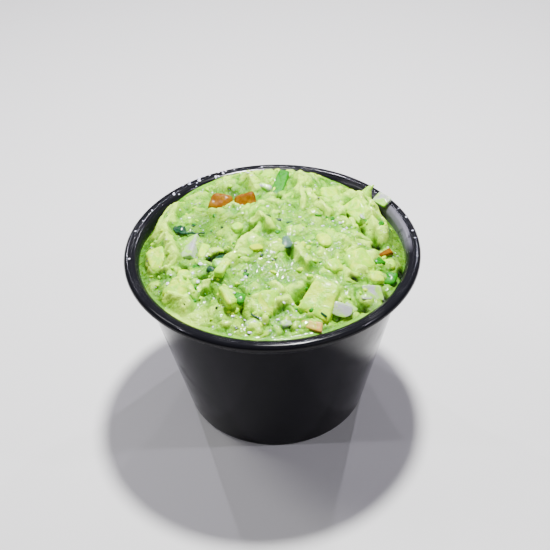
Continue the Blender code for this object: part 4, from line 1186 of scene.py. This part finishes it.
def markSpecs(marks, seed):
    # marks that can be told apart, each at its own place on the surface
    heights = readMap(maps, "height", *np.array(marks, float)[:, :2].T)
    return [dict(at=(x, y), z=z, half=(a, b, 0.35 * b), turn=(15.0, 8.0, turn), lift=0.03, seed=seed + k)
            for k, ((x, y, a, b, turn), z) in enumerate(zip(marks, heights))]


rng = np.random.default_rng(66)
spotSizes = rng.uniform(0.12, 0.48, (len(onionSpots), 2))
spotTurns = rng.uniform(0.0, 180.0, len(onionSpots))
placedFlecks["onionSpots"] = ("speck", [(x, y, a, b, turn) for (x, y), (a, b), turn
                                        in zip(onionSpots, spotSizes, spotTurns)])

# thin slices at a height of their own: stuff, x, y, z, half sizes, turn
sliceValues = {
    "onionSlices": ("onion", 15.9, -26.6, 48.3, (2.3, 1.7, 0.3), (24, 14, -16)),
    "leafSlices": ("leaf", 11.5, -28.5, 48.85, (1.0, 0.26, 0.18), (26, 0, -48)),
}
for name, (stuff, x, y, z, half, turn) in sliceValues.items():
    addBlocks(name, stuff, [dict(at=(x, y), z=z, half=half, turn=turn, lift=0.0, seed=8500)], 48, 24, 7, 0.05)

for name, (stuff, marks) in placedFlecks.items():
    addBlocks(name, stuff, markSpecs(marks, 8000), 16, 10, 4, 0.12)

for v in fleckValues:
    addBlocks(v["name"], v["stuff"], fleckSpecs(v), 10, 6, 4, 0.03)
print("the small bits are in")


# the leaf with its stem

leafValues = {"at": (-22.8, 5.2), "length": 3.8, "width": 3.0, "thickness": 0.3, "turn": -20.0,
              "wave": 0.25, "lobes": 3, "stem": 4.6}


def leafMesh(v):
    # across s from -1 to 1 and along t from the tip to the stem's end; half width by a lobed sine,
    # both faces a thickness apart over the mash
    across, along = 12, 40
    t, s = np.meshgrid(np.linspace(0.0, 1.0, along + 1), np.linspace(-1.0, 1.0, across + 1), indexing="ij")
    u = np.minimum(t / 0.55, 1.0)
    blade = 0.5 * v["width"] * np.sin(np.pi * np.minimum(u * 1.05 + 0.04, 1.0)) ** 0.6
    blade = blade * (1.0 + 0.18 * np.cos(2.0 * np.pi * v["lobes"] * u))
    half = np.where(t < 0.55, np.maximum(blade, 0.3), 0.3)
    reach = np.where(t < 0.55, v["length"] * u, v["length"] + v["stem"] * (t - 0.55) / 0.45)
    lx, ly = reach - 0.5 * v["length"], s * half
    turn = math.radians(v["turn"])
    x = v["at"][0] + lx * math.cos(turn) - ly * math.sin(turn)
    y = v["at"][1] + lx * math.sin(turn) + ly * math.cos(turn)
    wave = np.maximum(v["wave"] * np.sin(2.2 * lx + 1.3) * np.abs(s), -0.05)
    base = heapRelief(x, y, heapValues) + 0.55 + wave
    layers = [np.stack([x, y, base + side * v["thickness"]], axis=-1).reshape(-1, 3) for side in (1.0, 0.0)]
    rows, columns = along + 1, across + 1
    sheet = rows * columns
    top = gridFaces(rows, columns, False)
    border = gridBorder(rows, columns)
    after = np.roll(border, -1)
    rim = np.stack([border, after, after + sheet, border + sheet], axis=-1)
    return meshFrom("leafLeft", np.concatenate(layers), [top[:, ::-1], top + sheet, rim])


addPiece("leafLeft", leafMesh(leafValues), stuffs["leaf"], ("leaf_left",))
print("the leaf is laid")


# a curled peak of mash at the back right, and specks on the rim, partly wet food specks and partly painted
# glints

def tubeMesh(name, path, radii, sides=16):
    # circles of radius r(t) square to the path's direction, closed by a point at each end
    path, radii = np.array(path, float), np.array(radii, float)
    way = np.gradient(path, axis=0)
    way /= np.linalg.norm(way, axis=1, keepdims=True)
    side = np.cross(way, [0.3, 1.0, 0.2])
    side /= np.linalg.norm(side, axis=1, keepdims=True)
    other = np.cross(way, side)
    angle = 2.0 * np.pi * np.arange(sides) / sides
    rings = path[:, None] + radii[:, None, None] * (
        side[:, None] * np.cos(angle)[None, :, None] + other[:, None] * np.sin(angle)[None, :, None])
    count = len(path) * sides
    points = np.concatenate([rings.reshape(-1, 3), path[:1], path[-1:]])
    return meshFrom(name, points, [gridFaces(len(path), sides, True), fanFaces(0, sides, count, True),
                                   fanFaces(count - sides, sides, count + 1, False)])


peakValues = {"path": ((24.2, 18.6, 45.6), (24.9, 19.3, 47.8), (25.8, 20.0, 49.3), (27.1, 20.4, 50.2)),
              "radii": (2.9, 1.7, 0.85, 0.2), "steps": 22}


def addPeak(v):
    knots = np.linspace(0.0, 1.0, len(v["path"]))
    t = np.linspace(0.0, 1.0, v["steps"])
    path = np.stack([np.interp(t, knots, column) for column in np.array(v["path"]).T], axis=1)
    path = np.concatenate([path[:1], (path[:-2] + 2 * path[1:-1] + path[2:]) / 4.0, path[-1:]])
    mesh = tubeMesh("mashPeak", path, np.interp(t, knots, v["radii"]))
    # the peak takes a middling painted highlight, and no painted shade in hollows or holes
    for name, value in (("tint", 0.6), ("hollow", 0.0), ("crest", 0.4), ("pit", 0.0)):
        setAttribute(mesh, name, np.full(len(mesh.vertices), value))
    addPiece("mashPeak", mesh, mash)


addPeak(peakValues)

speckValues = {"count": 38, "from": 104.0, "to": 138.0, "small": 0.12, "large": 0.50, "seed": 71,
               "rimReach": (32.6, 33.0, 34.0, 35.5, 36.5, 37.0),   # the rim's section, out and up
               "rimTop": (42.0, 44.8, 46.5, 47.0, 46.9, 46.2),
               "extra": ((-28.4, 19.6), (-30.9, 17.0), (-33.0, 12.6), (-34.6, 8.2), (-35.4, -3.0),
                         (33.1, 14.2), (34.6, 10.4), (35.6, 4.6), (35.9, 1.6), (-2.0, 35.2),
                         (-12.6, 33.2))}


def addSpecks(v):
    rng = np.random.default_rng(v["seed"])
    angle = np.radians(rng.uniform(v["from"], v["to"], v["count"]))
    reach = rng.uniform(33.0, 36.4, v["count"])
    places = [*zip(reach * np.cos(angle), reach * np.sin(angle)), *v["extra"]]
    specs = []
    for k, (x, y) in enumerate(places):
        size = rng.uniform(v["small"], v["large"]) if k < v["count"] else rng.uniform(0.2, 0.32)
        onRim = np.interp(math.hypot(x, y), v["rimReach"], v["rimTop"])
        specs.append(dict(at=(x, y), z=float(onRim), half=(size, size * rng.uniform(0.5, 1.0), size * 0.4),
                          turn=(0.0, 0.0, rng.uniform(0, 180)), lift=0.05 * size, seed=9000 + k))
    addBlocks("rimGlintSpecks", "speck", specs, 12, 8, 2.5, 0.02)


addSpecks(speckValues)
print("the peak and the rim's specks are on")
